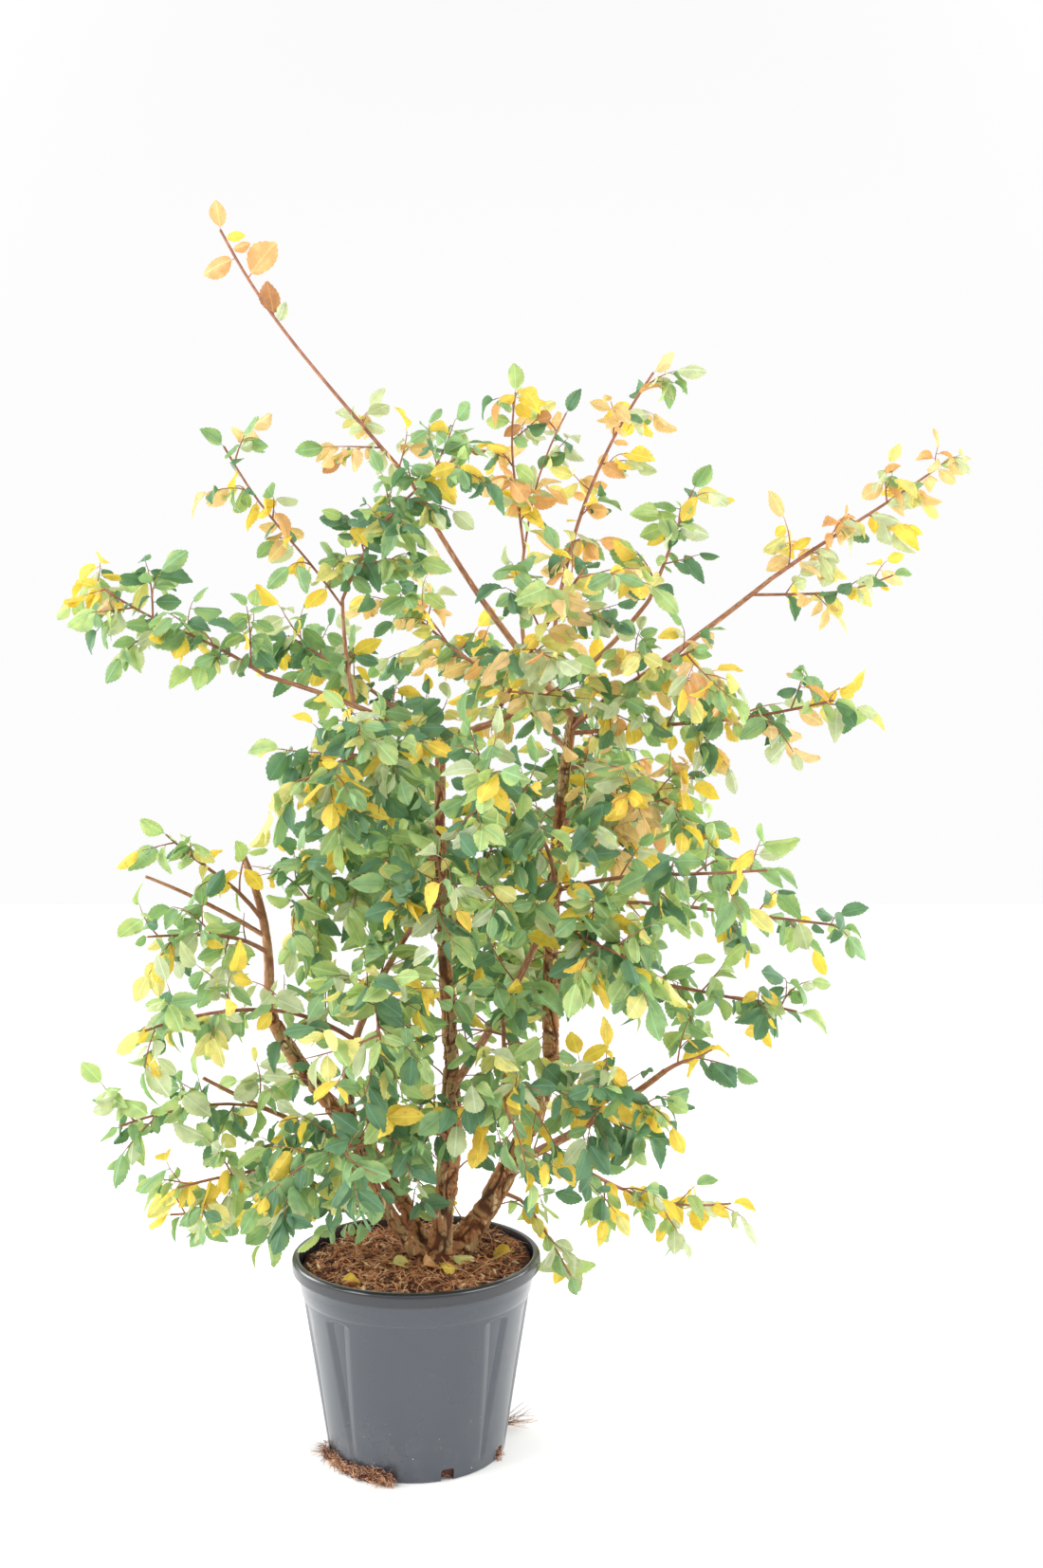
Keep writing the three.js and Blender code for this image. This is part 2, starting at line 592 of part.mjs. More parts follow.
// The seeded rule of a mass: side twigs turn about its stem, and all of them carry leaves.
function growMass(mass) {
  const random = seededRandom(mass.seed);
  const parent = byName.get(mass.from);
  const pieces = [bentBar(lineFromParent(mass, parent), mass.radiusAt, 3, mass.steps)];
  const bare = mass.bare ?? 0.05;
  const sparse = mass.sparse ?? 1;
  const count = Math.max(2, Math.round((mass.length * (1 - bare)) / (twigRule.pace * sparse)));
  const goldenTurn = 2.4;
  const gap = mass.gap ?? [1, 1];
  const sideRadius = (share) => THREE.MathUtils.lerp(twigRule.sideThick, twigRule.sideTip, share) / 2;
  for (let index = 0; index < count; index += 1) {
    const share = bare + ((1 - bare) * (index + 0.4)) / count;
    const root = mass.line(share);
    const forward = directionAt(mass.line, share);
    const [side, other] = acrossAt(forward, up);
    const turn = goldenTurn * index + 0.6 * random();
    const outward = side.clone().multiplyScalar(Math.cos(turn)).addScaledVector(other, Math.sin(turn));
    const direction = forward.clone().multiplyScalar(0.62)
      .addScaledVector(outward, twigRule.leanOut)
      .addScaledVector(up, twigRule.lift)
      .normalize();
    const length = mass.spread * (0.62 + 0.38 * random());
    const end = root.clone().addScaledVector(direction, length);
    const line = (part) => root.clone().lerp(end, part);
    if (share < gap[0] && allowed([line(0.5), end], mass)) {
      pieces.push(bentBar(line, sideRadius, 3, 1));
      pieces.push(...growLeaves(mass, line, length, 0.3, twigRule.twigLeafPace, random));
    }
  }
  const stemPace = twigRule.stemLeafPace * sparse;
  pieces.push(...growLeaves(mass, mass.line, mass.length, bare, stemPace, random, gap));
  const joined = mainBody(Manifold.union(pieces));
  addPiece(mass.name, cutClear(joined, parent), foliage);
}

const innerAt = addPot();
addSoil(innerAt);
limbs.forEach(layOutLimb);
addLimbs();
masses.forEach(layOutMass);
masses.forEach(growMass);

export default group;
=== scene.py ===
import json
import math
import bpy
import numpy as np
from mathutils import Euler, Matrix, Vector

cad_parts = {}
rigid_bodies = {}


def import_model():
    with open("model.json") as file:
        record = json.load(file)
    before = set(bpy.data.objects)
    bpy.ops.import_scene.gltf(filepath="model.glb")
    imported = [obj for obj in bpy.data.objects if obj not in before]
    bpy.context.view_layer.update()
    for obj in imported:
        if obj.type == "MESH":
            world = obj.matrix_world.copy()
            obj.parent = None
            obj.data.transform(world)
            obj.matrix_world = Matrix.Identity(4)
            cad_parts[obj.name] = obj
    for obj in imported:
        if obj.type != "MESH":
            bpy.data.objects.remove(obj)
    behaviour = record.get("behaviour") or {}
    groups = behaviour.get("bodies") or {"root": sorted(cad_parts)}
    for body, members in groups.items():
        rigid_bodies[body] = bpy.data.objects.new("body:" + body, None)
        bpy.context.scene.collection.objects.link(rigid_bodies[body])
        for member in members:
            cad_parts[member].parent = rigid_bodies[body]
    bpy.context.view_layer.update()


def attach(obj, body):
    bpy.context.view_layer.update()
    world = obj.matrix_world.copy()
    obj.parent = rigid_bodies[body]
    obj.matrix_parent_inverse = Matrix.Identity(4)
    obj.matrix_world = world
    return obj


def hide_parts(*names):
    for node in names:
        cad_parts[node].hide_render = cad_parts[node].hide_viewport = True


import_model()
scene = bpy.context.scene
scene.view_settings.view_transform = "Standard"
mm = 0.001
up = Vector((0, 0, 1))
photoView = {  # the photo's own camera: where it stood in mm, degrees down, and pixels
    "place": (171.6, -2755.4, 1244.3), "tilt": 3.2416, "focal": 1806, "tall": 1654,
}


# small tools for shader and geometry nodes

class Wire:
    def __init__(self, maker, socket):
        self.maker = maker
        self.socket = socket

    def math(self, operation, first, second=0.0):
        return self.maker.add("ShaderNodeMath", {"operation": operation}, {0: first, 1: second})

    def __add__(self, other):
        return self.math("ADD", self, other)

    def __mul__(self, other):
        return self.math("MULTIPLY", self, other)

    def __sub__(self, other):
        return self.math("SUBTRACT", self, other)

    def __rsub__(self, other):
        return self.math("SUBTRACT", other, self)

    __radd__ = __add__
    __rmul__ = __mul__

    def between(self, low, high):  # 0 at low and 1 at high, smooth
        values = {0: self, 1: low, 2: high}
        return self.maker.add("ShaderNodeMapRange", {"interpolation_type": "SMOOTHSTEP"}, values)

    def size(self):
        return self.math("ABSOLUTE", self)


class Maker:
    def __init__(self, tree):
        self.tree = tree

    def add(self, kind, settings=None, values=None, output=0):
        node = self.tree.nodes.new(kind)
        for key, value in (settings or {}).items():
            setattr(node, key, value)
        for key, value in (values or {}).items():
            socket = node.inputs[key]
            if isinstance(value, Wire):
                self.tree.links.new(value.socket, socket)
            else:
                socket.default_value = value
        return Wire(self, node.outputs[output]) if node.outputs else None

    def blend(self, amount, first, second):
        values = {0: amount, 6: first, 7: second}
        return self.add("ShaderNodeMix", {"data_type": "RGBA"}, values, 2)

    def noise(self, place, scale, detail):
        values = {"Vector": place, "Scale": scale, "Detail": detail, "Roughness": 0.55}
        return self.add("ShaderNodeTexNoise", None, values)

    def stretched(self, place, scale):
        return self.add("ShaderNodeMapping", None, {"Vector": place, "Scale": scale})

    def objectPlace(self):
        return self.add("ShaderNodeTexCoord", None, None, 3)

    def named(self, name):
        return self.add("ShaderNodeAttribute", {"attribute_name": name}, None, 2)

    def bump(self, height, strength, distance):
        values = {"Height": height, "Strength": strength, "Distance": distance}
        return self.add("ShaderNodeBump", None, values)


def newMaterial(name, build):
    material = bpy.data.materials.new(name)
    material.use_nodes = True
    material.node_tree.nodes.clear()
    maker = Maker(material.node_tree)
    surface = build(maker)
    maker.add("ShaderNodeOutputMaterial", None, {"Surface": surface})
    return material


def colour(red, green, blue):  # plain colour from its place on a 0 to 255 screen
    values = [channel / 255 for channel in (red, green, blue)]
    linear = [v / 12.92 if v < 0.04045 else ((v + 0.055) / 1.055) ** 2.4 for v in values]
    return (*linear, 1.0)


def principled(maker, values):
    return maker.add("ShaderNodeBsdfPrincipled", None, values)


def geometryTree(name, inputs):
    tree = bpy.data.node_groups.new(name, "GeometryNodeTree")
    tree.interface.new_socket("Geometry", in_out="INPUT", socket_type="NodeSocketGeometry")
    for label, kind in inputs.items():
        tree.interface.new_socket(label, in_out="INPUT", socket_type=kind)
    tree.interface.new_socket("Geometry", in_out="OUTPUT", socket_type="NodeSocketGeometry")
    maker = Maker(tree)
    source = tree.nodes.new("NodeGroupInput")
    wires = {socket.name: Wire(maker, socket) for socket in source.outputs if socket.name}
    return tree, maker, wires


def closeTree(tree, maker, geometry, material):
    joined = maker.add("GeometryNodeRealizeInstances", None, {0: geometry})
    painted = maker.add("GeometryNodeSetMaterial", None, {0: joined, "Material": material})
    tree.links.new(painted.socket, tree.nodes.new("NodeGroupOutput").inputs[0])


def grown(name, start, tree, values):  # runs a tree on a mesh and keeps the plain result
    modifier = start.modifiers.new(name, "NODES")
    modifier.node_group = tree
    for item in tree.interface.items_tree:
        if item.in_out == "INPUT" and item.name in values:
            modifier[item.identifier] = values[item.name]
    evaluated = start.evaluated_get(bpy.context.evaluated_depsgraph_get())
    mesh = bpy.data.meshes.new_from_object(evaluated)
    start.modifiers.remove(modifier)
    bpy.data.objects.remove(start)
    mesh.name = name
    piece = bpy.data.objects.new(name, mesh)
    scene.collection.objects.link(piece)
    return piece


def meshPiece(name, points, faces, material=None, smooth=True):
    mesh = bpy.data.meshes.new(name)
    mesh.from_pydata(points, [], faces)
    if smooth:
        mesh.shade_smooth()
    else:
        mesh.shade_flat()
    piece = bpy.data.objects.new(name, mesh)
    scene.collection.objects.link(piece)
    if material:
        mesh.materials.append(material)
    return piece


def dress(piece, slot, *nodes):
    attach(piece, "root")
    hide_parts(*nodes)


def seededRandom(seed):  # the same row of random numbers, from 0 to 1, each time
    state = [(seed * 7919 + 12345) % 4294967296]

    def draw():
        state[0] = (state[0] * 1664525 + 1013904223) % 4294967296
        return state[0] / 4294967296
    return draw


def within(span, draw):  # a random value: the least, and how much more at most
    least, more = span
    return least + more * draw()


def giveValues(mesh, label, kind, values):  # a value for each point, which nodes can read
    given = mesh.attributes.new(label, kind, "POINT")
    numbers = np.array(values, dtype=np.int32 if kind == "INT" else np.float32)
    given.data.foreach_set("vector" if kind == "FLOAT_VECTOR" else "value", numbers.reshape(-1))


def anyWay(draw):  # a short step in any direction
    return Vector((draw() - 0.5, draw() - 0.5, draw() - 0.5))


def smoothStep(low, high, value):
    share = np.clip((value - low) / (high - low), 0, 1)
    return share * share * (3 - 2 * share)


def latticeNoise(u, v, around, seed):  # u runs once round from 0 to 1, v counts cells along
    rows = int(np.max(v)) + 3
    table = np.random.default_rng(seed).random((rows, around))
    column = (u % 1) * around
    row = np.clip(v, 0, rows - 2)
    i, j = np.floor(row).astype(int), np.floor(column).astype(int) % around
    s, t = row - np.floor(row), column - np.floor(column)
    s, t = s * s * (3 - 2 * s), t * t * (3 - 2 * t)
    top = table[i, j] * (1 - t) + table[i, (j + 1) % around] * t
    low = table[i + 1, j] * (1 - t) + table[i + 1, (j + 1) % around] * t
    return top * (1 - s) + low * s


def ringFaces(rings, around, first=0):
    faces = []
    for ring in range(rings - 1):
        for index in range(around):
            a = first + ring * around + index
            b = first + ring * around + (index + 1) % around
            faces.append((a, b, b + around, a + around))
    return faces


# the container

pot = {  # mm, and degrees round it from the front
    "rim": 202.5, "foot": 146, "height": 322, "wall": 3.6, "floor": 5, "around": 432,
    "lipHeight": 21, "lipProud": 6, "lipRound": 6, "collarEnd": 262, "collarStep": 2,
    "flutes": (43, 74.3, 105.7, 137), "fluteTurn": 3.9, "fluteHalf": 8.2, "fluteSlope": 7.9,
    "fluteDepth": 6.8, "fluteTop": 257, "fluteBottom": 16, "fluteNarrows": 0.2,
    "fluteRound": 4, "fluteHead": 5, "fluteEnd": 9,
    "drains": 8, "firstDrain": 22.5, "drainWidth": 21, "drainHeight": 20, "drainArch": 7, "drainBow": 0.45,
    "footRings": ((8, 0), (4, 0.2), (2.2, 1.2)),  # in from the foot's radius, and up
    "wallRings": (3, 5.5, 9, 14, 18, 21, 24, 27, 30, 34, 40, 60, 90, 120, 150, 180, 210, 228, 236, 240, 243,
                  245.5, 248, 250, 252, 254, 256, 258, 260),
    "insideRings": (300, 260, 200, 120, 40, 8),
    # the lip tint is painted shade, darker than the wall for the dim reflection on the lip's face
    "tints": {"wall": (40, 48, 60), "cloud": (46, 54, 66), "lip": (26, 30, 37), "dust": (150, 142, 128),
              "speck": (205, 200, 190)},
}


def wallRadius(z):
    return pot["foot"] + (pot["rim"] - pot["lipProud"] - pot["foot"]) * z / pot["height"]


def fluteDepth(angle, z):
    turned = (angle - pot["fluteTurn"] + 180) % 360 - 180
    away = np.min([np.abs(np.abs(turned) - middle) for middle in pot["flutes"]], axis=0)
    narrowed = pot["fluteNarrows"] + (1 - pot["fluteNarrows"]) * z / pot["fluteTop"]
    half = pot["fluteHalf"] * narrowed
    top = pot["fluteTop"] - pot["fluteRound"] * smoothStep(pot["fluteRound"], pot["fluteHalf"], away)
    across = np.clip((half - away) / (pot["fluteSlope"] * narrowed), 0, 1)
    headed = smoothStep(0, pot["fluteHead"], top - z)
    along = headed * smoothStep(0, pot["fluteEnd"], z - pot["fluteBottom"])
    return pot["fluteDepth"] * narrowed * across * along


def buildPot(material):  # rings of radius and height: up the outside, over the lip, down the inside
    lipUnder = pot["height"] - pot["lipHeight"]
    turn = np.arange(pot["around"]) * 2 * math.pi / pot["around"]
    degrees = np.degrees(turn)
    rings = [(np.full_like(turn, pot["foot"] - inwards), z) for inwards, z in pot["footRings"]]
    for z in (*pot["wallRings"], pot["collarEnd"]):
        rings.append((wallRadius(z) - pot["collarStep"] - fluteDepth(degrees, z), z))
    plain = [(wallRadius(264.5) - 1.2, 264.5), (wallRadius(267), 267), (wallRadius(283), 283),
             (wallRadius(lipUnder) - 0.3, lipUnder - 3), (wallRadius(lipUnder) + 0.8, lipUnder - 0.6)]
    edge, bow = pot["rim"], pot["lipRound"]
    plain += [(edge - 2.2, lipUnder), (edge - 0.6, lipUnder + 1), (edge, lipUnder + 3.5)]
    plain += [(edge, lipUnder + 12)]
    for step in range(1, 7):  # the rolled top of the lip
        bend = step / 6 * math.pi / 2
        plain.append((edge - bow + bow * math.cos(bend), pot["height"] - bow + bow * math.sin(bend)))
    inner = wallRadius(pot["height"]) - pot["wall"] - pot["collarStep"]
    plain += [(inner + 1.4, pot["height"]), (inner + 0.4, pot["height"] - 0.6), (inner, pot["height"] - 2)]
    for z in pot["insideRings"]:
        plain.append((wallRadius(z) - pot["wall"] - pot["collarStep"], z))
    plain.append((wallRadius(pot["floor"]) - pot["wall"] - 5, pot["floor"]))
    rings += [(np.full_like(turn, radius), z) for radius, z in plain]
    points = []
    for radius, z in rings:
        for r, a in zip(radius, turn):  # the angle counts from the front, towards +X
            points.append((r * math.sin(a) * mm, -r * math.cos(a) * mm, z * mm))
    faces = ringFaces(len(rings), pot["around"])
    last = (len(rings) - 1) * pot["around"]
    points += [(0, 0, 0), (0, 0, pot["floor"] * mm)]
    for index in range(pot["around"]):
        following = (index + 1) % pot["around"]
        faces.append((len(points) - 2, following, index))
        faces.append((len(points) - 1, last + index, last + following))
    piece = meshPiece("potShell", points, faces, material)
    cutDrains(piece)
    return piece


def cutDrains(piece):
    points, faces = [], []
    half = pot["drainWidth"] / 2
    outline, arch = [(-half, -9), (half, -9)], pot["drainArch"]
    for step in range(11):  # an arch with square shoulders
        bend = math.pi * step / 10
        x, z = math.cos(bend), math.sin(bend)
        out = half * math.copysign(abs(x) ** pot["drainBow"], x)
        outline.append((out, pot["drainHeight"] - arch + arch * z ** pot["drainBow"]))
    for index in range(pot["drains"]):
        a = math.radians(pot["firstDrain"] + index * 360 / pot["drains"])
        out, side = (math.sin(a), -math.cos(a)), (math.cos(a), math.sin(a))
        first = len(points)
        for reach in (pot["foot"] - 26, pot["foot"] + 20):
            for x, z in outline:
                points.append(((out[0] * reach + side[0] * x) * mm,
                               (out[1] * reach + side[1] * x) * mm, z * mm))
        count = len(outline)
        faces.append([first + k for k in reversed(range(count))])
        faces.append([first + count + k for k in range(count)])
        for k in range(count):
            following = (k + 1) % count
            faces.append((first + k, first + following, first + count + following, first + count + k))
    cutter = meshPiece("drainCutter", points, faces)
    cut = piece.modifiers.new("drains", "BOOLEAN")
    cut.object = cutter
    cut.operation = "DIFFERENCE"
    cut.solver = "MANIFOLD"
    shell = bpy.data.meshes.new_from_object(piece.evaluated_get(bpy.context.evaluated_depsgraph_get()))
    piece.modifiers.clear()
    piece.data = shell
    shell.shade_smooth()
    shell.set_sharp_from_angle(angle=math.radians(42))
    bpy.data.objects.remove(cutter)


def potFinish(maker):
    tints = {part: colour(*tint) for part, tint in pot["tints"].items()}
    place = maker.objectPlace()
    height = maker.add("ShaderNodeSeparateXYZ", None, {0: place}, 2)
    cloud = maker.noise(place, 5.0, 3.0)
    grain = maker.noise(place, 420.0, 2.0)
    flow = maker.noise(maker.stretched(place, (3.0, 3.0, 55.0)), 4.0, 3.0)
    lip = height.between(0.293, 0.301)  # painted shade: the lip is tinted darker for the dim reflection on its face, and is shinier
    tint = maker.blend(cloud.between(0.3, 0.75), tints["wall"], tints["cloud"])
    tint = maker.blend(lip, tint, tints["lip"])
    low = height.between(0.13, 0.0)
    speck = maker.noise(place, 210.0, 1.0).between(0.76, 0.8) * (low + 0.04)
    dusty = maker.noise(place, 30.0, 5.0).between(0.42, 0.75) * low * 0.12
    dirt = maker.blend(dusty, tint, tints["dust"])
    base = maker.blend(speck, dirt, tints["speck"])
    rough = cloud * 0.1 + 0.22 + dusty * 0.3 - lip * 0.06
    relief = grain * 0.3 + flow * 0.7
    return principled(maker, {"Base Color": base, "Roughness": rough, "Specular IOR Level": 0.8,
                              "Coat Weight": 0.4 - lip * 0.4, "Coat Roughness": 0.2,
                              "Normal": maker.bump(relief, 0.25, 0.0006)})


potMaterial = newMaterial("moulded pot plastic", potFinish)
potShell = buildPot(potMaterial)
dress(potShell, "pot_plastic", "pot")
print("pot", len(potShell.data.polygons))


# the mulch that fills it

soil = {
    "level": 312, "flatRadius": 100, "edgeDrop": 14, "heap": 16, "heapAngle": 40, "heapSpread": 55,
    "roughness": 5.0, "around": 200, "rows": 64, "bottom": 6, "wallRoom": 0.8, "tint": (92, 48, 28),
}
scatter = {  # pieces on each square metre, how long and wide they are, and how many rows clear of the wall
    "dark": dict(density=6500, seed=3, length=0.024, width=0.005, clear=6, tint=(92, 52, 32)),
    "mid": dict(density=9000, seed=8, length=0.026, width=0.0034, clear=7, tint=(188, 122, 80)),
    "light": dict(density=4600, seed=15, length=0.017, width=0.005, clear=5, tint=(242, 206, 160)),
    "fibre": dict(density=12000, seed=21, length=0.034, width=0.0014, clear=9, tint=(232, 168, 118)),
    "crumb": dict(density=22000, seed=27, length=0.0095, width=0.003, clear=3, tint=(200, 134, 88)),
}
chipRule = {  # how far they tilt, in radians, how their sizes differ, and how each shape bends
    "tilt": 0.7, "sizes": (0.4, 1.4), "bends": (-0.05, 0.04, 0.1), "fibreBends": (-0.22, 0.16, 0.32),
}


def soilHeight(x, y):
    radius = np.hypot(x, y)
    outwards = np.clip((radius - soil["flatRadius"]) / (pot["rim"] - soil["flatRadius"]), 0, 1)
    offHeap = np.degrees(np.arctan2(y, x)) - soil["heapAngle"]
    heaped = soil["heap"] * np.exp(-((offHeap / soil["heapSpread"]) ** 2))
    return soil["level"] + (heaped - soil["edgeDrop"]) * outwards ** 1.5


def soilSurface(x, y):
    u = np.arctan2(y, x) / (2 * math.pi)
    radius = np.hypot(x, y)
    lumps = latticeNoise(u, radius / 14 + 2, 40, 5) * 0.6 + latticeNoise(u, radius / 6 + 2, 90, 6) * 0.4
    fade = smoothStep(4, 30, radius)
    return soilHeight(x, y) + (lumps - 0.5) * 2 * soil["roughness"] * fade


def mulchFinish(tint):
    def build(maker):
        place = maker.objectPlace()
        patch = maker.noise(place, 160.0, 4.0)
        streak = maker.noise(maker.stretched(place, (900.0, 300.0, 500.0)), 1.0, 3.0)
        dark = tuple(channel * 0.4 for channel in colour(*tint)[:3]) + (1.0,)
        base = maker.blend(patch.between(0.3, 0.7) * 0.75 + streak * 0.3, dark, colour(*tint))
        relief = patch * 0.5 + streak * 0.5
        return principled(maker, {"Base Color": base, "Roughness": streak * 0.2 + 0.75,
                                  "Normal": maker.bump(relief, 0.6, 0.0012)})
    return build


def buildSoil(material):
    around, rows = soil["around"], soil["rows"]
    turn = np.arange(around) * 2 * math.pi / around
    reach = wallRadius(300) - pot["wall"] - pot["collarStep"] - soil["wallRoom"]
    top = []
    for radius in np.linspace(2.0, reach, rows):
        x, y = radius * np.cos(turn), radius * np.sin(turn)
        z = soilSurface(x, y)
        top += [(a * mm, b * mm, c * mm) for a, b, c in zip(x, y, z)]
    faces = [tuple(reversed(face)) for face in ringFaces(rows, around)]
    points = list(top) + [(0, 0, soil["level"] * mm)]
    faces += [(len(points) - 1, index, (index + 1) % around) for index in range(around)]
    surfaces = {}
    for clear in sorted({size["clear"] for size in scatter.values()}):  # loose pieces keep off the wall
        inside = (rows - clear) * around
        near = [face for face in faces if max(face[:3]) < inside or len(points) - 1 in face]
        surfaces[clear] = meshPiece(f"mulchTop{clear}", list(points), near)
    first = len(points)
    depths = (285, 150, 40, soil["bottom"])
    for z in depths:  # its sides follow the inside of the wall
        radius = wallRadius(z) - pot["wall"] - pot["collarStep"] - soil["wallRoom"]
        for x, y, _ in top[-around:]:
            share = min(radius, reach) * mm / math.hypot(x, y)
            points.append((x * share, y * share, z * mm))
    rim = (rows - 1) * around
    for index in range(around):
        following = (index + 1) % around
        faces.append((rim + index, first + index, first + following, rim + following))
    faces += [tuple(reversed(face)) for face in ringFaces(len(depths), around, first)]
    points.append((0, 0, soil["bottom"] * mm))
    last = first + (len(depths) - 1) * around
    faces += [(len(points) - 1, last + (i + 1) % around, last + i) for i in range(around)]
    return meshPiece("mulchBody", points, faces, material), surfaces


def chipShape(name, length, width, bend):
    points, steps = [], 4
    section = ((-1, -0.3), (1, -0.3), (0.4, 0.6), (-1, 0.4))
    for step in range(steps + 1):
        share = step / steps
        half = width / 2 * (1 - 0.6 * abs(2 * share - 1) ** 2)
        lift = bend * length * 4 * share * (1 - share)
        for y, z in section:
            points.append(((share - 0.5) * length, half * y + lift, half * z + lift * 0.7))
    faces = [tuple(reversed(face)) for face in ringFaces(steps + 1, 4)]
    faces += [(0, 1, 2, 3), tuple(steps * 4 + k for k in (3, 2, 1, 0))]
    return meshPiece(name, points, faces, None, False)


def scatterTree():
    inputs = {"Shapes": "NodeSocketCollection", "Density": "NodeSocketFloat", "Seed": "NodeSocketInt",
              "Tilt": "NodeSocketFloat", "Finish": "NodeSocketMaterial"}
    tree, maker, wires = geometryTree("scattered mulch", inputs)
    values = {"Mesh": wires["Geometry"], "Density": wires["Density"], "Seed": wires["Seed"]}
    spots = maker.add("GeometryNodeDistributePointsOnFaces", None, values)
    shapes = maker.add("GeometryNodeCollectionInfo", None,
                       {0: wires["Shapes"], "Separate Children": True, "Reset Children": True})
    tilt = wires["Tilt"]
    low = maker.add("ShaderNodeCombineXYZ", None, {0: 0 - tilt, 1: 0 - tilt, 2: -math.pi})
    high = maker.add("ShaderNodeCombineXYZ", None, {0: tilt, 1: tilt, 2: math.pi})
    turn = maker.add("FunctionNodeRandomValue", {"data_type": "FLOAT_VECTOR"},
                     {0: low, 1: high, "Seed": wires["Seed"]})
    smallest, largest = chipRule["sizes"]
    size = maker.add("FunctionNodeRandomValue", {"data_type": "FLOAT"},
                     {2: smallest, 3: largest, "Seed": 4}, 1)
    rotation = maker.add("FunctionNodeEulerToRotation", None, {0: turn})
    values = {"Points": spots, "Instance": shapes, "Pick Instance": True,
              "Rotation": rotation, "Scale": size}
    placed = maker.add("GeometryNodeInstanceOnPoints", None, values)
    closeTree(tree, maker, placed, wires["Finish"])
    return tree


def shapeCollection(name, shapes):
    group = bpy.data.collections.new(name)
    for shape in shapes:
        scene.collection.objects.unlink(shape)
        group.objects.link(shape)
    return group


def dropCollection(group):
    for shape in list(group.objects):
        bpy.data.objects.remove(shape)
    bpy.data.collections.remove(group)


mulchMaterial = newMaterial("moist bark mulch", mulchFinish(soil["tint"]))
mulchBody, mulchTops = buildSoil(mulchMaterial)
dress(mulchBody, "bark_mulch", "soil")
mulchTree = scatterTree()
for kind, size in scatter.items():
    bends = chipRule["fibreBends" if kind == "fibre" else "bends"]
    shapes = [chipShape(f"{kind}Chip{index}", size["length"] * (0.7 + 0.3 * index),
                        size["width"] * (1.3 - 0.2 * index), bend) for index, bend in enumerate(bends)]
    group = shapeCollection(kind + " chips", shapes)
    start = bpy.data.objects.new(kind, mulchTops[size["clear"]].data.copy())
    scene.collection.objects.link(start)
    material = newMaterial(kind + " mulch", mulchFinish(size["tint"]))
    piece = grown("mulch" + kind.capitalize(), start, mulchTree,
                  {"Shapes": group, "Density": float(size["density"]), "Seed": size["seed"],
                   "Tilt": chipRule["tilt"], "Finish": material})
    dropCollection(group)
    dress(piece, "bark_mulch", "soil")
    print("mulch", kind, len(piece.data.polygons))
for top in mulchTops.values():
    bpy.data.objects.remove(top)


# stems and boughs: where each starts, where it ends, how it bends, and how thick it is

limbs = [
    dict(name="stem_centre", foot=(35, -23), ends=(41, 10, 1164), bow=(14, 5, 0), sway=(10, 0, 0),
         thick=29, thin=14, flare=11, cork=9, corkAt=0.23),
    dict(name="stem_right_foot", foot=(64, 26), ends=(222, 80, 613), bow=(16, 0, 0), thick=35, thin=27,
         flare=12),
    dict(name="stem_right", parent="stem_right_foot", at=1, ends=(257, 100, 1196), bow=(-14, 10, 0),
         thick=26, thin=15),
    dict(name="stem_left_outer", foot=(12, 28), ends=(-244, 20, 716), bow=(0, 34, 0), sway=(12, 0, 0),
         thick=26, thin=21, flare=9),
    dict(name="stem_left_inner", foot=(15, -17), ends=(-98, -90, 663), bow=(-42, 6, 0), thick=21,
         thin=16, flare=8),
    dict(name="bough_left_upright", parent="stem_left_outer", at=1, ends=(-297, 100, 968),
         bow=(18, 0, 0), thick=19, thin=11),
    dict(name="bough_left_bare", parent="bough_left_upright", at=0.46, ends=(-443, 30, 935),
         bow=(0, 0, 6), thick=9, thin=5),
    dict(name="bough_low_left", parent="stem_left_outer", at=0.42, ends=(-341, -30, 616),
         bow=(0, 0, -8), thick=11, thin=6),
    dict(name="bough_inner", parent="stem_left_inner", at=1, ends=(-7, -140, 860), bow=(-8, 0, 0),
         thick=13, thin=9),
    dict(name="bough_right_low", parent="stem_right_foot", at=0.46, ends=(393, -140, 652),
         bow=(6, 0, -6), thick=17, thin=9),
    dict(name="bough_centre_right", parent="stem_centre", at=0.33, ends=(230, -140, 934),
         bow=(12, 0, 0), thick=15, thin=10),
    dict(name="bough_top_right", parent="stem_centre", at=1, ends=(374, -30, 1382), bow=(14, 6, -38),
         thick=12, thin=7),
    dict(name="bough_top_left", parent="stem_centre", at=0.985, ends=(-229, -70, 1262), bow=(0, 0, 8),
         thick=11, thin=7),
    dict(name="bough_left_riser", parent="bough_top_left", at=0.5, ends=(-112, -30, 1383),
         bow=(-4, 0, 0), thick=7.5, thin=5.5),
    dict(name="bough_leader", parent="stem_right", at=1, ends=(-14, 140, 1590), bow=(-18, -6, 0),
         thick=13, thin=7.5),
    dict(name="bough_far_right", parent="stem_right", at=0.975, ends=(594, 160, 1427), bow=(0, 0, -6),
         thick=13, thin=8),
    dict(name="bough_top", parent="bough_leader", at=0.24, ends=(176, 135, 1475), bow=(-6, 0, 0),
         thick=8, thin=5.5),
]
flareFade, corkSpread = 22, 0.09  # how soon a root flare ends, and how long a corky swelling is
barkRule = {  # "ring" is the mm between rings, and pairs are a cell's mm along and how many go round
    "stem": {"ring": 2.4, "around": 56, "depth": 0.36, "plate": (34, 8), "grain": (4, 24)},
    "bough": {"ring": 4.0, "around": 20, "depth": 0.08, "plate": (26, 7), "grain": (4, 10)},
    "warp": (40, 5), "fine": (13, 15), "cross": (6.5, 6), "intoMulch": 3.6, "rough": 0.07,
}
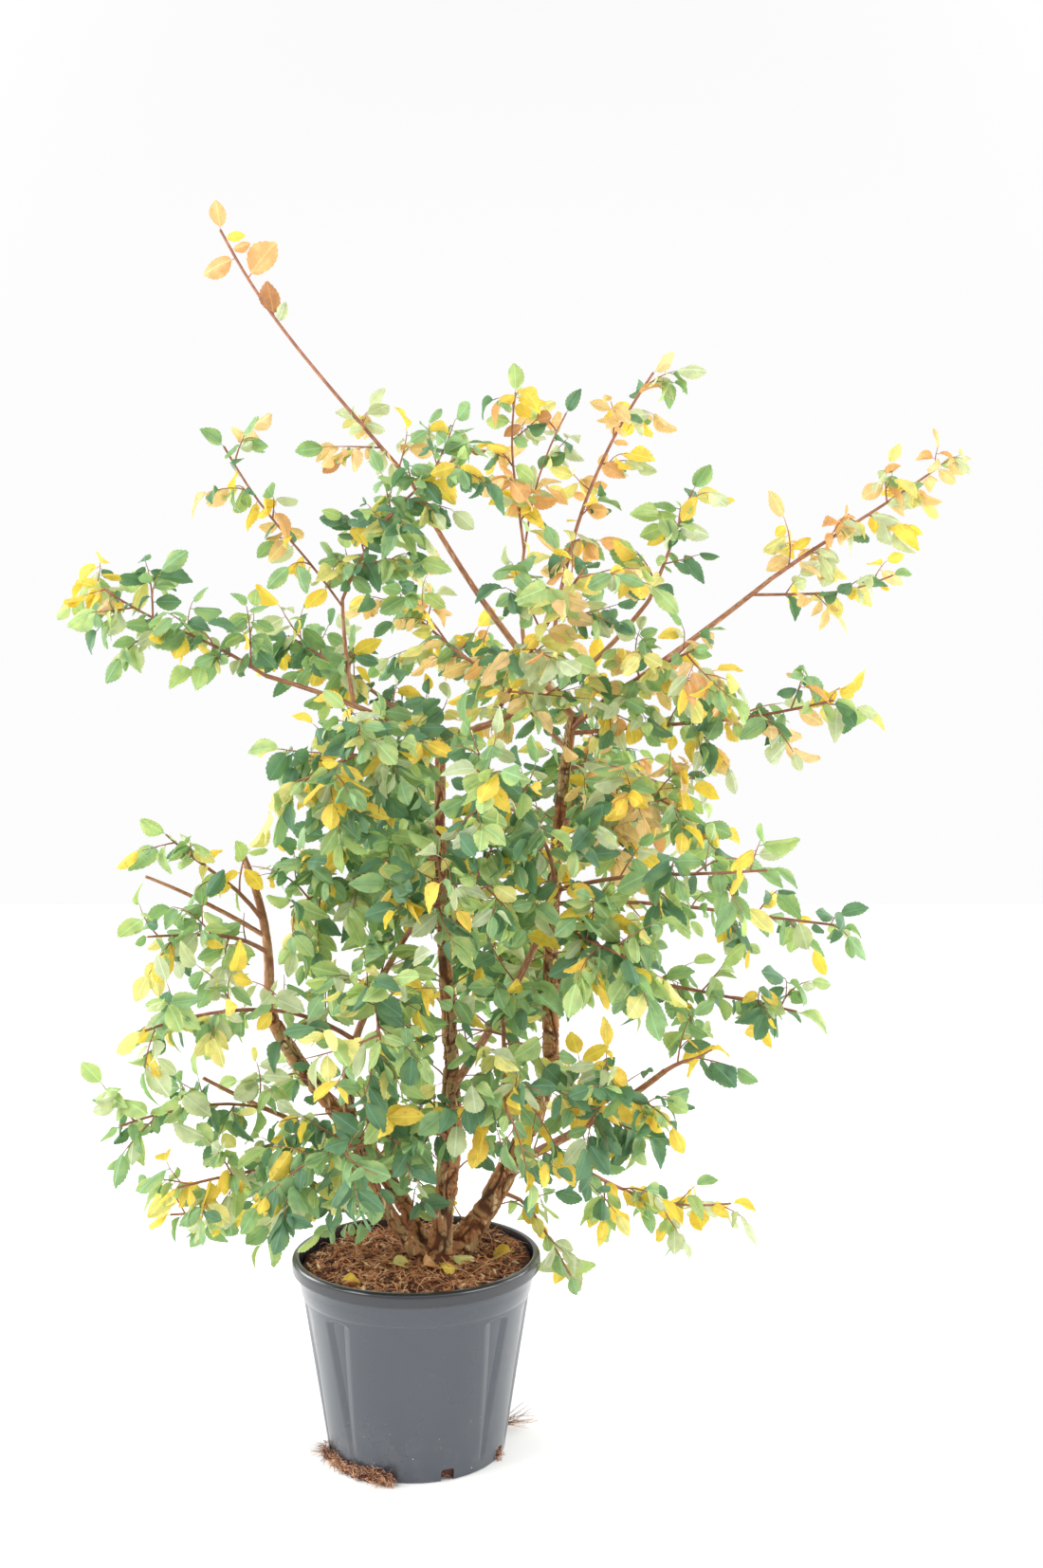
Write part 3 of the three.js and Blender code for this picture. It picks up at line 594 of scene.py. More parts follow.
barkTints = {
    "plate": (178, 122, 78), "greyPlate": (164, 136, 94), "grit": (116, 76, 46), "strand": (212, 190, 148),
    "crack": (112, 62, 36), "darkCrack": (80, 50, 30),
    "skin": (150, 96, 66), "paleSkin": (178, 130, 94), "streak": (206, 176, 134), "hollow": (110, 62, 42),
    "twig": (134, 84, 60), "paleTwig": (170, 114, 84), "twigSpot": (190, 154, 120),
}
barkColours = {part: colour(*tint) for part, tint in barkTints.items()}
limbParts = 8  # straight parts of each limb that leaves and twigs keep clear of
limbByName = {}


def middleLine(start, end, bow, sway):
    return lambda share: (start.lerp(end, share) + bow * (4 * share * (1 - share))
                          + sway * math.sin(2 * math.pi * share))


def directionAt(line, share):
    before, after = max(0, share - 0.01), min(1, share + 0.01)
    return (line(after) - line(before)).normalized()


def acrossAt(direction, guide):
    side = (guide - direction * guide.dot(direction)).normalized()
    return side, side.cross(direction)


def outwardAt(direction, turn):  # away from a limb, so far round it
    side, other = acrossAt(direction, up)
    return side * math.cos(turn) + other * math.sin(turn)


def partOf(line, low, high):
    return lambda share: line(low + (high - low) * share)


def layOutLimb(limb):
    parent = limbByName.get(limb.get("parent"))
    start = parent["line"](limb["at"]) if parent else Vector((*limb["foot"], soil["level"]))
    end = Vector(limb["ends"])
    length = (end - start).length
    limb["line"] = middleLine(start, end, Vector(limb["bow"]), Vector(limb.get("sway", (0, 0, 0))))
    limb["length"] = length

    def radiusAt(share):
        taper = (limb["thick"] * (1 - share) + limb["thin"] * share) / 2
        foot = limb.get("flare", 0) * math.exp(-share * length / flareFade)
        offCork = (share - limb.get("corkAt", 0)) / corkSpread
        return taper + foot + limb.get("cork", 0) / 2 * math.exp(-offCork ** 2)
    limb["radiusAt"] = radiusAt
    limb["parts"] = [(limb["line"](k / limbParts), limb["line"]((k + 1) / limbParts),
                      radiusAt((k + 0.5) / limbParts)) for k in range(limbParts)]
    limbByName[limb["name"]] = limb


def barkTube(limb, seed):
    isStem = limb["name"].startswith("stem")
    rule = barkRule["stem" if isStem else "bough"]
    line, length, around = limb["line"], limb["length"], rule["around"]
    low = -barkRule["intoMulch"] / length if "foot" in limb else 0.0  # a stem starts in the mulch
    rings = int(length / rule["ring"])
    shares = np.linspace(low, 1, rings)
    u = np.arange(around) / around
    along = (shares - low)[:, None] * length

    def cells(size, offset, shift=0.0):
        long, count = size
        return latticeNoise(u[None, :] + shift, along / long, count, seed + offset)
    warp = (cells(barkRule["warp"], 0) - 0.5) * 0.22
    wide = cells(rule["plate"], 1, warp)
    fine = cells(barkRule["fine"], 2, warp)
    cross = cells(barkRule["cross"], 3)
    grain = cells(rule["grain"], 4)
    finer = 0.45 + 0.55 * smoothStep(0, 0.12, np.abs(fine - 0.5))
    fissure = smoothStep(0.0, 0.13, np.abs(wide - 0.5)) * finer
    cracked = smoothStep(0.35, 0.6, fine) * (1 - smoothStep(0.0, 0.1, np.abs(cross - 0.5)))
    plate = np.clip(fissure - 0.55 * cracked, 0, 1)
    guide = Vector((1, 0, 0)) if abs(directionAt(line, 0.5).z) > 0.7 else up
    points = []
    for row, share in enumerate(shares):
        middle = line(share)
        side, other = acrossAt(directionAt(line, min(max(share, 0), 1)), guide)
        radius = limb["radiusAt"](max(share, 0))
        rough = barkRule["rough"] * (grain[row] - 0.5)
        if isStem:  # the fissures are deepest at the foot, and the plates stand proud
            deep = rule["depth"] * (1.15 - 0.55 * max(share, 0))
            reach = radius * (1.16 - deep * (1 - plate[row]) + rough + 0.2 * (wide[row] - 0.5))
        else:
            reach = radius * (1 - rule["depth"] * (1 - plate[row]) + rough)
        for index in range(around):
            bend = 2 * math.pi * index / around
            point = middle + (side * math.cos(bend) + other * math.sin(bend)) * float(reach[index])
            points.append(tuple(point * mm))
    mapped = [(u[i], along[row, 0] * mm) for row in range(rings) for i in range(around)]
    return points, ringFaces(rings, around), plate.reshape(-1), mapped, rings, around


def buildBark(name, chosen, material):
    points, faces, plates, places = [], [], [], []
    for seed, limb in enumerate(chosen):
        made, quads, plate, mapped, rings, around = barkTube(limb, 10 + 7 * seed)
        first = len(points)
        points += made
        faces += [tuple(corner + first for corner in face) for face in quads]
        plates += list(plate)
        places += mapped
        tip = len(points)
        points.append(tuple(limb["line"](1) * mm))
        plates.append(1.0)
        places.append((0.5, limb["length"] * mm))
        last = first + (rings - 1) * around
        faces += [(last + i, last + (i + 1) % around, tip) for i in range(around)]
    piece = meshPiece(name, points, faces, material)
    giveValues(piece.data, "plate", "FLOAT", plates)
    giveValues(piece.data, "barkPlace", "FLOAT_VECTOR", [(u, v, 0) for u, v in places])
    return piece


def corkFinish(maker):
    place = maker.objectPlace()
    plate = maker.named("plate")
    patch = maker.noise(place, 28.0, 4.0)
    grit = maker.noise(maker.stretched(place, (700.0, 700.0, 160.0)), 1.0, 4.0)
    plates = maker.blend(patch.between(0.4, 0.6), barkColours["plate"], barkColours["greyPlate"])
    gritty = maker.blend(grit.between(0.4, 0.75) * 0.6, plates, barkColours["grit"])
    strand = maker.noise(maker.stretched(place, (150.0, 150.0, 22.0)), 1.0, 3.0)
    pale = strand.between(0.56, 0.66) * plate.between(0.5, 0.9)
    gritty = maker.blend(pale, gritty, barkColours["strand"])
    crack = maker.blend(patch.between(0.3, 0.7), barkColours["crack"], barkColours["darkCrack"])
    base = maker.blend(plate.between(0.2, 0.95), crack, gritty)
    relief = grit * 0.5 + plate * 0.3 + strand * 0.2
    return principled(maker, {"Base Color": base, "Roughness": grit * 0.15 + 0.78,
                              "Normal": maker.bump(relief, 0.7, 0.0012)})


def youngFinish(maker):
    place = maker.objectPlace()
    bark = maker.add("ShaderNodeAttribute", {"attribute_name": "barkPlace"}, None, 1)
    streak = maker.noise(maker.stretched(bark, (9.0, 60.0, 1.0)), 1.0, 4.0)
    patch = maker.noise(place, 22.0, 3.0)
    plate = maker.named("plate")
    skin = maker.blend(patch.between(0.35, 0.7), barkColours["skin"], barkColours["paleSkin"])
    corky = maker.blend(streak.between(0.5, 0.68) * 0.75, skin, barkColours["streak"])
    base = maker.blend((1 - plate) * 0.6, corky, barkColours["hollow"])
    return principled(maker, {"Base Color": base, "Roughness": streak * 0.2 + 0.6,
                              "Normal": maker.bump(streak * 0.7 + plate * 0.3, 0.6, 0.0008)})


for limb in limbs:
    layOutLimb(limb)
stems = [limb for limb in limbs if limb["name"].startswith("stem")]
boughs = [limb for limb in limbs if limb["name"].startswith("bough")]
corkyBark = newMaterial("corky bark", corkFinish)
youngBark = newMaterial("young bark", youngFinish)
stemBark = buildBark("stemBark", stems, corkyBark)
dress(stemBark, "corky_bark", *[limb["name"] for limb in stems])
boughBark = buildBark("boughBark", boughs, youngBark)
dress(boughBark, "young_bark", *[limb["name"] for limb in boughs])
print("bark", len(stemBark.data.polygons), len(boughBark.data.polygons))


# the crown: masses of twigs and leaves that grow on from the limbs

# "tints" names how the leaves have turned, "fuller" sets twigs and leaves closer than in the others,
# and past the share "leafyTo" a limb has only the leaves that are listed one by one
masses = [
    dict(name="leaves_leader", parent="bough_leader", at=1, ends=(-366, 240, 2068), bow=(-17, 0, -12),
         spread=90, bare=0.02, sparse=1.5, leafyTo=0.24, tints="leader"),
    dict(name="leaves_top_front", parent="bough_top", at=1, ends=(162, 55, 1722), bow=(-10, 0, 0),
         spread=70, bare=0.1, sparse=1.5, tints="golden"),
    dict(name="leaves_top_centre", parent="bough_top", at=0.8, ends=(248, 205, 1712), bow=(-16, 0, 0),
         spread=70, bare=0.25, sparse=1.7, tints="golden"),
    dict(name="leaves_top_back", parent="bough_leader", at=0.12, ends=(405, 315, 1800), bow=(-40, 0, 10),
         spread=75, bare=0.3, sparse=1.6, tints="turning"),
    dict(name="leaves_fork_right", parent="stem_right", at=0.96, ends=(430, -180, 1300), bow=(0, 0, 14),
         spread=100, bare=0.1, tints="turning"),
    dict(name="leaves_top_right", parent="bough_top_right", at=1, ends=(440, -52, 1552), spread=75,
         tints="pale"),
    dict(name="leaves_far_right", parent="bough_far_right", at=1, ends=(893, 228, 1624), spread=85,
         sparse=1.25, tints="golden"),
    dict(name="leaves_mid_right", parent="bough_centre_right", at=0.8, ends=(320, -330, 860),
         bow=(0, 0, 10), spread=125, fuller=1.35, tints="green"),
    dict(name="leaves_right_middle", parent="stem_right", at=0.95, ends=(650, -130, 1224), bow=(0, 0, -8),
         spread=85, bare=0.35, sparse=1.3, tints="turning"),
    dict(name="leaves_top_left", parent="bough_top_left", at=1, ends=(-472, -106, 1395), spread=105,
         sparse=1.05, tints="green", tipTints="tip"),
    dict(name="leaves_left_riser", parent="bough_left_riser", at=1, ends=(71, -141, 1589),
         bow=(-20, 10, 14), spread=110, fuller=1.2, tints="dusky"),
    dict(name="leaves_upper_left", parent="bough_left_riser", at=0.93, ends=(-284, -110, 1612),
         bow=(0, 0, -8), spread=66, bare=0.06, sparse=1.5, tints="turning"),
    dict(name="leaves_fork_front", parent="bough_top_right", at=0.22, ends=(265, -190, 1420),
         bow=(0, -20, 10), spread=130, tints="turning"),
    dict(name="leaves_left_front", parent="stem_centre", at=0.93, ends=(-140, -300, 1110), bow=(0, 0, 38),
         spread=120, bare=0.08, sparse=0.9, fuller=1.2, tints="dusky"),
    dict(name="leaves_left_middle", parent="stem_centre", at=0.955, ends=(-220, 130, 1330),
         bow=(0, 0, 22), spread=105, bare=0.1, tints="dusky"),
    dict(name="leaves_centre_left", parent="stem_centre", at=0.77, ends=(-185, -130, 905), bow=(0, 0, 12),
         spread=105, bare=0.05, sparse=0.85, fuller=1.35, tints="green"),
    dict(name="leaves_left_outer", parent="bough_left_upright", at=0.56, ends=(-398, -20, 1008),
         bow=(0, 0, 8), spread=80, bare=0.2, sparse=1.2, tints="pale"),
    dict(name="leaves_left_arm", parent="bough_left_upright", at=0.36, ends=(-392, -190, 868),
         bow=(0, 0, 16), spread=85, bare=0.15, sparse=1.25, tints="pale"),
    dict(name="leaves_left_low_front", parent="bough_inner", at=0.14, ends=(-364, -345, 756),
         bow=(0, 0, 40), spread=90, bare=0.12, sparse=1.25, fuller=1.2, tints="pale"),
    dict(name="leaves_inner_left", parent="bough_inner", at=0.55, ends=(-30, -330, 740), bow=(0, 0, 14),
         spread=130, fuller=1.35, tints="pale"),
    dict(name="leaves_low_left", parent="bough_low_left", at=0.5, ends=(-432, -215, 585), bow=(0, 0, 26),
         spread=85, bare=0.12, sparse=1.5, tints="pale"),
    dict(name="leaves_low_front_left", parent="stem_left_inner", at=0.42, ends=(-340, -245, 500),
         bow=(0, 0, 22), spread=85, bare=0.15, sparse=1.3, fuller=1.2, tints="pale"),
    dict(name="leaves_rim_left", parent="stem_left_outer", at=0.12, ends=(-424, 105, 350), bow=(0, 0, 14),
         spread=75, bare=0.35, sparse=1.4, tints="pale"),
    dict(name="leaves_right_back", parent="stem_right", at=0.85, ends=(490, 268, 1040), bow=(0, 0, 22),
         spread=90, bare=0.08, sparse=1.25, tints="turning"),
    dict(name="leaves_front_right", parent="bough_centre_right", at=1, ends=(520, -340, 985),
         bow=(0, 0, 8), spread=90, bare=0.25, sparse=1.25, tints="pale"),
    dict(name="leaves_right_outer", parent="stem_right", at=0.46, ends=(700, 40, 852), bow=(0, 0, 12),
         spread=80, bare=0.1, sparse=1.6, tints="green"),
    dict(name="leaves_right_lower", parent="stem_right", at=0.235, ends=(604, -90, 735), bow=(0, 0, 18),
         spread=85, bare=0.08, sparse=1.35, tints="green"),
    dict(name="leaves_right_low", parent="bough_right_low", at=1, ends=(462, -170, 692), spread=80,
         sparse=1.25, tints="green"),
    dict(name="leaves_rim_right", parent="bough_right_low", at=0.24, ends=(528, 116, 366),
         bow=(-14, 0, -30), spread=75, bare=0.2, sparse=1.1, tints="pale"),
    dict(name="leaves_rim_front", parent="stem_right_foot", at=0.3, ends=(254, 55, 262), bow=(0, 0, 40),
         spread=60, bare=0.3, tints="pale"),
    dict(name="leaves_foreground", parent="bough_centre_right", at=0.9, ends=(110, -390, 1130),
         bow=(36, 20, 10), spread=110, bare=0.1, fuller=1.2, tints="green"),
    dict(name="leaves_centre_front", parent="bough_inner", at=1, ends=(130, -310, 960), bow=(-10, 0, 14),
         spread=120, sparse=0.9, fuller=1.35, tints="green"),
    dict(name="leaves_low_centre", parent="stem_centre", at=0.24, ends=(-110, -270, 560), bow=(0, 0, 12),
         spread=130, bare=0.1, sparse=0.85, fuller=1.35, tints="green"),
    dict(name="leaves_low_right", parent="bough_centre_right", at=0.4, ends=(150, -280, 620),
         bow=(0, 0, 10), spread=130, bare=0.1, sparse=0.9, fuller=1.4, tints="green"),
    dict(name="leaves_inner_right", parent="stem_right", at=0.7, ends=(400, -70, 1070), spread=120,
         bare=0.08, sparse=0.85, fuller=1.2, tints="turning"),
    dict(name="leaves_far_right_low", parent="bough_far_right", at=0.9, ends=(790, 110, 1430),
         bow=(0, 0, -14), spread=58, bare=0.15, sparse=1.4, tints="turning"),
    dict(name="leaves_inner_low", parent="bough_right_low", at=0.45, ends=(330, -235, 645),
         bow=(0, 0, 10), spread=105, fuller=1.2, tints="green"),
    dict(name="leaves_back_low", parent="stem_right", at=0.08, ends=(110, 350, 770), bow=(0, 0, 20),
         spread=110, bare=0.1, fuller=1.6, tints="green"),
    dict(name="leaves_back_middle", parent="stem_centre", at=0.66, ends=(-70, 360, 1015), bow=(0, 0, 24),
         spread=125, bare=0.1, fuller=1.5, tints="dusky"),
    dict(name="leaves_back_high", parent="stem_right", at=0.9, ends=(-30, 385, 1380), bow=(0, 20, 10),
         spread=125, bare=0.15, tints="turning"),
    dict(name="leaves_back_right", parent="stem_right", at=0.6, ends=(325, 425, 1160), bow=(0, 0, 20),
         spread=110, bare=0.15, tints="green"),
]
roomRound = {"leaf": 5, "twig": 3, "shoot": 4, "rim": 8, "potTop": 14, "floor": 40}  # mm kept clear
twigRule = {  # mm and radians
    "pace": 33, "turn": 2.4, "turnMore": 0.6, "ahead": 0.62, "leanOut": 0.95, "lift": 0.16,
    "reach": (0.6, 0.5), "wander": 0.14, "sag": 0.1, "bow": 0.05, "bare": 0.12,
    "thickest": 8.5, "offParent": 0.7, "tipThick": 2.2, "sideThick": 2.3, "sideTip": 1.2,
    "twigLeafPace": 10.5, "stemLeafPace": 15, "tipFrom": 0.8, "tipLeafPace": 22,
}
finerRule = {  # the finer twigs on those: where they start, as shares, and how far they reach
    "at": (0.25, 0.5), "least": 48, "long": 0.62, "shorter": 0.3, "leafy": 0.5, "bare": 0.15,
    "ahead": 0.8, "aside": 0.8, "lift": 0.1, "thick": 2.1, "tip": 1.1,
}
leafRule = {  # pairs: the least, and how much more at most
    "kinds": 8, "size": 51, "length": (0.62, 0.58), "width": (0.72, 0.34), "lift": (0.1, 1.0),
    "hang": (-0.1, 1.3), "turn": 4.4, "roll": 1.2, "aside": 0.8, "ahead": 0.5, "lastAhead": 1.5,
    "lastAside": 0.3, "sameAsSpray": 0.5,
}
leafTints = {  # the colour of each kind of leaf, and that of its rim
    "dark": ((96, 136, 104), (126, 152, 98)),
    "green": ((138, 174, 124), (180, 194, 120)),
    "fresh": ((172, 198, 134), (206, 208, 136)),
    "grey": ((192, 204, 170), (204, 206, 154)),
    "lime": ((220, 216, 142), (242, 214, 130)),
    "yellow": ((246, 210, 92), (232, 176, 80)),
    "orange": ((232, 180, 126), (202, 138, 94)),
    "brown": ((180, 128, 86), (142, 94, 62)),
    "amber": ((236, 202, 150), (224, 174, 128)),
}
tintShares = {  # how many leaves of each kind a mass has, in the order of the kinds above
    "green": (25, 31, 17, 9, 6, 12, 0, 0, 0),
    "dusky": (33, 31, 10, 8, 6, 12, 0, 0, 0),
    "pale": (14, 30, 22, 14, 9, 11, 0, 0, 0),
    "turning": (13, 18, 9, 15, 9, 14, 6, 0, 17),
    "golden": (4, 8, 4, 21, 8, 9, 19, 2, 26),
    "leader": (4, 10, 8, 20, 12, 9, 13, 2, 23),
    "tip": (0, 0, 0, 2, 3, 3, 1, 0, 6),
}
turnedTints = ("yellow", "orange", "brown", "amber")  # these have brown spots
spotTint = (150, 92, 52)
twigs, leaves = [], []


def pickTint(shares, draw):
    spot = draw() * sum(shares)
    for kind, share in zip(leafTints, shares):
        spot -= share
        if spot < 0:
            return kind
    return "green"


def nearest(point, a, b):  # the spot of a straight part that is nearest to a point
    return a.lerp(b, min(1, max(0, (point - a).dot(b - a) / (b - a).length_squared)))


def clearOfLimbs(point, room):  # and of the pot and the floor
    for limb in limbs:
        for a, b, radius in limb["parts"]:
            if (point - nearest(point, a, b)).length < radius + room:
                return False
    out = math.hypot(point.x, point.y)
    offPot = out > pot["rim"] + roomRound["rim"] or point.z > pot["height"] + roomRound["potTop"]
    return offPot and point.z > roomRound["floor"]


viewpoint = Vector(photoView["place"])  # from here the stems show between the leaves
bareWood = [name for name in limbByName if name.startswith("stem")]
bareWood += ["bough_inner", "bough_right_low", "bough_centre_right", "bough_left_upright"]
beforeWood = {"margin": 20, "kept": 0.3, "inFront": 12}


def seenFrom(point):
    depth = point.y - viewpoint.y
    return Vector(((point.x - viewpoint.x) / depth, (point.z - viewpoint.z) / depth))


def hidesWood(point):
    spot = seenFrom(point)
    for a, b, depth, reach in screenWood:
        if point.y < depth - beforeWood["inFront"] and (spot - nearest(spot, a, b)).length < reach:
            return True
    return False


def growLeaf(base, forward, sideways, tint, draw, ahead):
    away = Vector((base.x, base.y, 0)).normalized()
    away.rotate(Euler((0, 0, leafRule["turn"] * (draw() - 0.5))))
    facing = up * within(leafRule["lift"], draw) + away + sideways * leafRule["roll"] * (draw() - 0.5)
    hang = within(leafRule["hang"], draw)
    along = (forward * ahead + sideways * leafRule["aside"] - up * hang / (0.5 + ahead)).normalized()
    across = facing.cross(along).normalized()
    face = along.cross(across)
    length = leafRule["size"] * within(leafRule["length"], draw)
    width = length * within(leafRule["width"], draw)
    kind = min(leafRule["kinds"] - 1, int(leafRule["kinds"] * draw()))
    middle = base + along * length * 0.6
    hidden = hidesWood(middle) and draw() > beforeWood["kept"]
    if clearOfLimbs(middle, roomRound["leaf"]) and not hidden:
        turn = Matrix((along, across, face)).transposed().to_euler()
        leaves.append((base * mm, tuple(turn), (length * mm, width * mm, length * mm), kind, tint))


def growLeaves(line, length, bare, pace, shares, draw):  # from the tip back, to either side in turn
    count = max(1, round(length * (1 - bare) / pace))
    spray = pickTint(shares, draw)
    for index in range(count):
        share = 1 - (1 - bare) * index / count
        forward = directionAt(line, share)
        turn = 1 if index % 2 == 0 else -1
        ahead = leafRule["ahead"]
        if index == 0:
            turn, ahead = leafRule["lastAside"], leafRule["lastAhead"]
        sideways = forward.cross(up).normalized() * turn
        tint = spray if draw() < leafRule["sameAsSpray"] else pickTint(shares, draw)
        growLeaf(line(share), forward, sideways, tint, draw, ahead)


def addTwig(line, rootThick, tipThick, steps):
    path = []
    for step in range(steps + 1):
        thick = rootThick + (tipThick - rootThick) * step / steps
        path.append((line(step / steps) * mm, thick / 2 * mm))
    twigs.append(path)


def sideTwig(root, direction, length, draw):
    wander = anyWay(draw) * length * twigRule["wander"]
    end = root + direction * length - up * length * twigRule["sag"]
    return middleLine(root, end, wander + up * length * twigRule["bow"], Vector((0, 0, 0)))


leaderEnd = 0.925  # the outermost leaf reaches on past the leader's wood
leaderTip = [  # the last leaves: share of the leader, how they point right and up, length, kind, tint
    (leaderEnd, -4, 40, 48, 3, "orange"), (0.9, 26, 4, 34, 1, "yellow"), (0.86, 40, 12, 32, 5, "orange"),
    (0.83, -58, -20, 62, 2, "orange"), (0.76, 40, 58, 82, 4, "orange"), (0.62, -8, 56, 60, 7, "brown"),
    (0.6, 14, 34, 34, 5, "grey"),
]


def placeTipLeaf(base, pointing, length, kind, tint):
    along = pointing.normalized()
    across = Vector((0.25, -1, 0.2)).cross(along).normalized()
    turn = Matrix((along, across, along.cross(across))).transposed().to_euler()
    size = (length * 1.12 * mm, length * 1.05 * mm, length * mm)
    leaves.append((base * mm, tuple(turn), size, kind, tint))


def growMass(mass, index):
    draw = seededRandom(index + 1)
    parent = limbByName[mass["parent"]]
    start, bow = parent["line"](mass["at"]), Vector(mass.get("bow", (0, 0, 0)))
    line = middleLine(start, Vector(mass["ends"]), bow, Vector((2, 0, 3)))
    length = (line(1) - line(0)).length
    parentThick = 2 * parent["radiusAt"](mass["at"])
    rootThick = min(twigRule["thickest"], parentThick * (1 if mass["at"] == 1 else twigRule["offParent"]))
    bare, sparse, fuller = mass.get("bare", 0.05), mass.get("sparse", 1), mass.get("fuller", 1)
    leafPace = twigRule["twigLeafPace"] / fuller
    shares = tintShares[mass["tints"]]
    leafyTo = mass.get("leafyTo", 1)
    wholeLine = line
    if leafyTo < 1:
        line = partOf(wholeLine, 0, leaderEnd)
    addTwig(line, rootThick, twigRule["tipThick"] + length / 220, max(6, round(length / 30)))
    count = max(2, round(length * (1 - bare) * fuller / (twigRule["pace"] * sparse)))
    for place in range(count):
        share = bare + (1 - bare) * (place + 0.4) / count
        forward = directionAt(line, share)
        outward = outwardAt(forward, twigRule["turn"] * place + twigRule["turnMore"] * draw())
        direction = forward * twigRule["ahead"] + outward * twigRule["leanOut"] + up * twigRule["lift"]
        reach = mass["spread"] * within(twigRule["reach"], draw)
        if share > leafyTo:
            continue
        twig, room = sideTwig(line(share), direction.normalized(), reach, draw), roomRound["twig"]
        if not all(clearOfLimbs(twig(spot), room) for spot in (0.5, 1)):
            continue
        addTwig(twig, twigRule["sideThick"] + reach / 70, twigRule["sideTip"], 5)
        growLeaves(twig, reach, twigRule["bare"], leafPace, shares, draw)
        turned = finerRule["aside"] if draw() < 0.5 else -finerRule["aside"]
        for root in finerRule["at"]:  # finer twigs leave the longer ones, to either side in turn
            turned, lean = -turned, directionAt(twig, root)
            finer = lean * finerRule["ahead"] + lean.cross(outward).normalized() * turned
            finer = (finer + up * finerRule["lift"]).normalized()
            finerReach = reach * (finerRule["long"] - finerRule["shorter"] * root)
            small = sideTwig(twig(root), finer, finerReach, draw)
            if reach * (1 - root) < finerRule["least"] or not clearOfLimbs(small(1), room):
                continue
            addTwig(small, finerRule["thick"], finerRule["tip"], 3)
            growLeaves(small, reach * finerRule["leafy"], finerRule["bare"], leafPace, shares, draw)
    if leafyTo < 1:
        leafy = partOf(line, 0, leafyTo)
        growLeaves(leafy, length * leafyTo, bare, twigRule["stemLeafPace"], shares, draw)
        for share, right, rise, size, kind, tint in leaderTip:
            placeTipLeaf(wholeLine(share), Vector((right, -6, rise)), size, kind, tint)
    else:
        growLeaves(line, length, bare, twigRule["stemLeafPace"] * sparse, shares, draw)
    if "tipTints" in mass:
        low, tipShares = twigRule["tipFrom"], tintShares[mass["tipTints"]]
        growLeaves(partOf(line, low, 1), length * (1 - low), 0, twigRule["tipLeafPace"], tipShares, draw)


shootRule = {
    "stems": ("stem_centre", "stem_right_foot", "stem_right", "stem_left_outer", "stem_left_inner",
              "bough_centre_right", "bough_right_low"),
    "seed": 900, "pace": 34, "from": 0.1, "to": 0.8, "reach": (70, 80), "turn": 2.4, "ahead": 0.55,
    "lift": 0.1, "sunk": 0.6, "thick": 3.0, "tip": 1.2, "bare": 0.3, "leafPace": 13,
}


def growShoots(limb, index):  # short leafy shoots that spring straight from the wood
    draw = seededRandom(shootRule["seed"] + index)
    line = limb["line"]
    low, high = shootRule["from"], shootRule["to"]
    count = round((line(high) - line(low)).length / shootRule["pace"])
    for place in range(count):
        share = low + (high - low) * (place + draw()) / count
        forward = directionAt(line, share)
        outward = outwardAt(forward, shootRule["turn"] * place + draw())
        direction = (forward * shootRule["ahead"] + outward + up * shootRule["lift"]).normalized()
        reach = within(shootRule["reach"], draw)
        start = line(share) + outward * limb["radiusAt"](share) * shootRule["sunk"]
        shoot = sideTwig(start, direction, reach, draw)
        if all(clearOfLimbs(shoot(spot), roomRound["shoot"]) for spot in (0.6, 1)):
            addTwig(shoot, shootRule["thick"], shootRule["tip"], 5)
            growLeaves(shoot, reach, shootRule["bare"], shootRule["leafPace"], tintShares["green"], draw)


leafForm = {  # droop, fold and twist of each kind, and how wide half a leaf is at each spot of its blade
    "droop": (0.12, 0.28, 0.42, 0.2, 0.55, 0.06, 0.34, 0.24),
    "fold": (0.25, -0.35, -0.6, -0.15, 0.42, -0.85, 0.6, -0.48),
    "twist": (0.2, -0.5, 0.7, -0.9, 0.4, 0.6, -0.7, 0.1),
    "spots": (0.08, 0.21, 0.35, 0.49, 0.63, 0.77, 0.89),
    "halves": (0.13, 0.214, 0.264, 0.27, 0.24, 0.178, 0.092),
    "stalk": 0.11, "stalkHalf": 0.012, "ripple": 0.022, "tooth": 0.026,
}


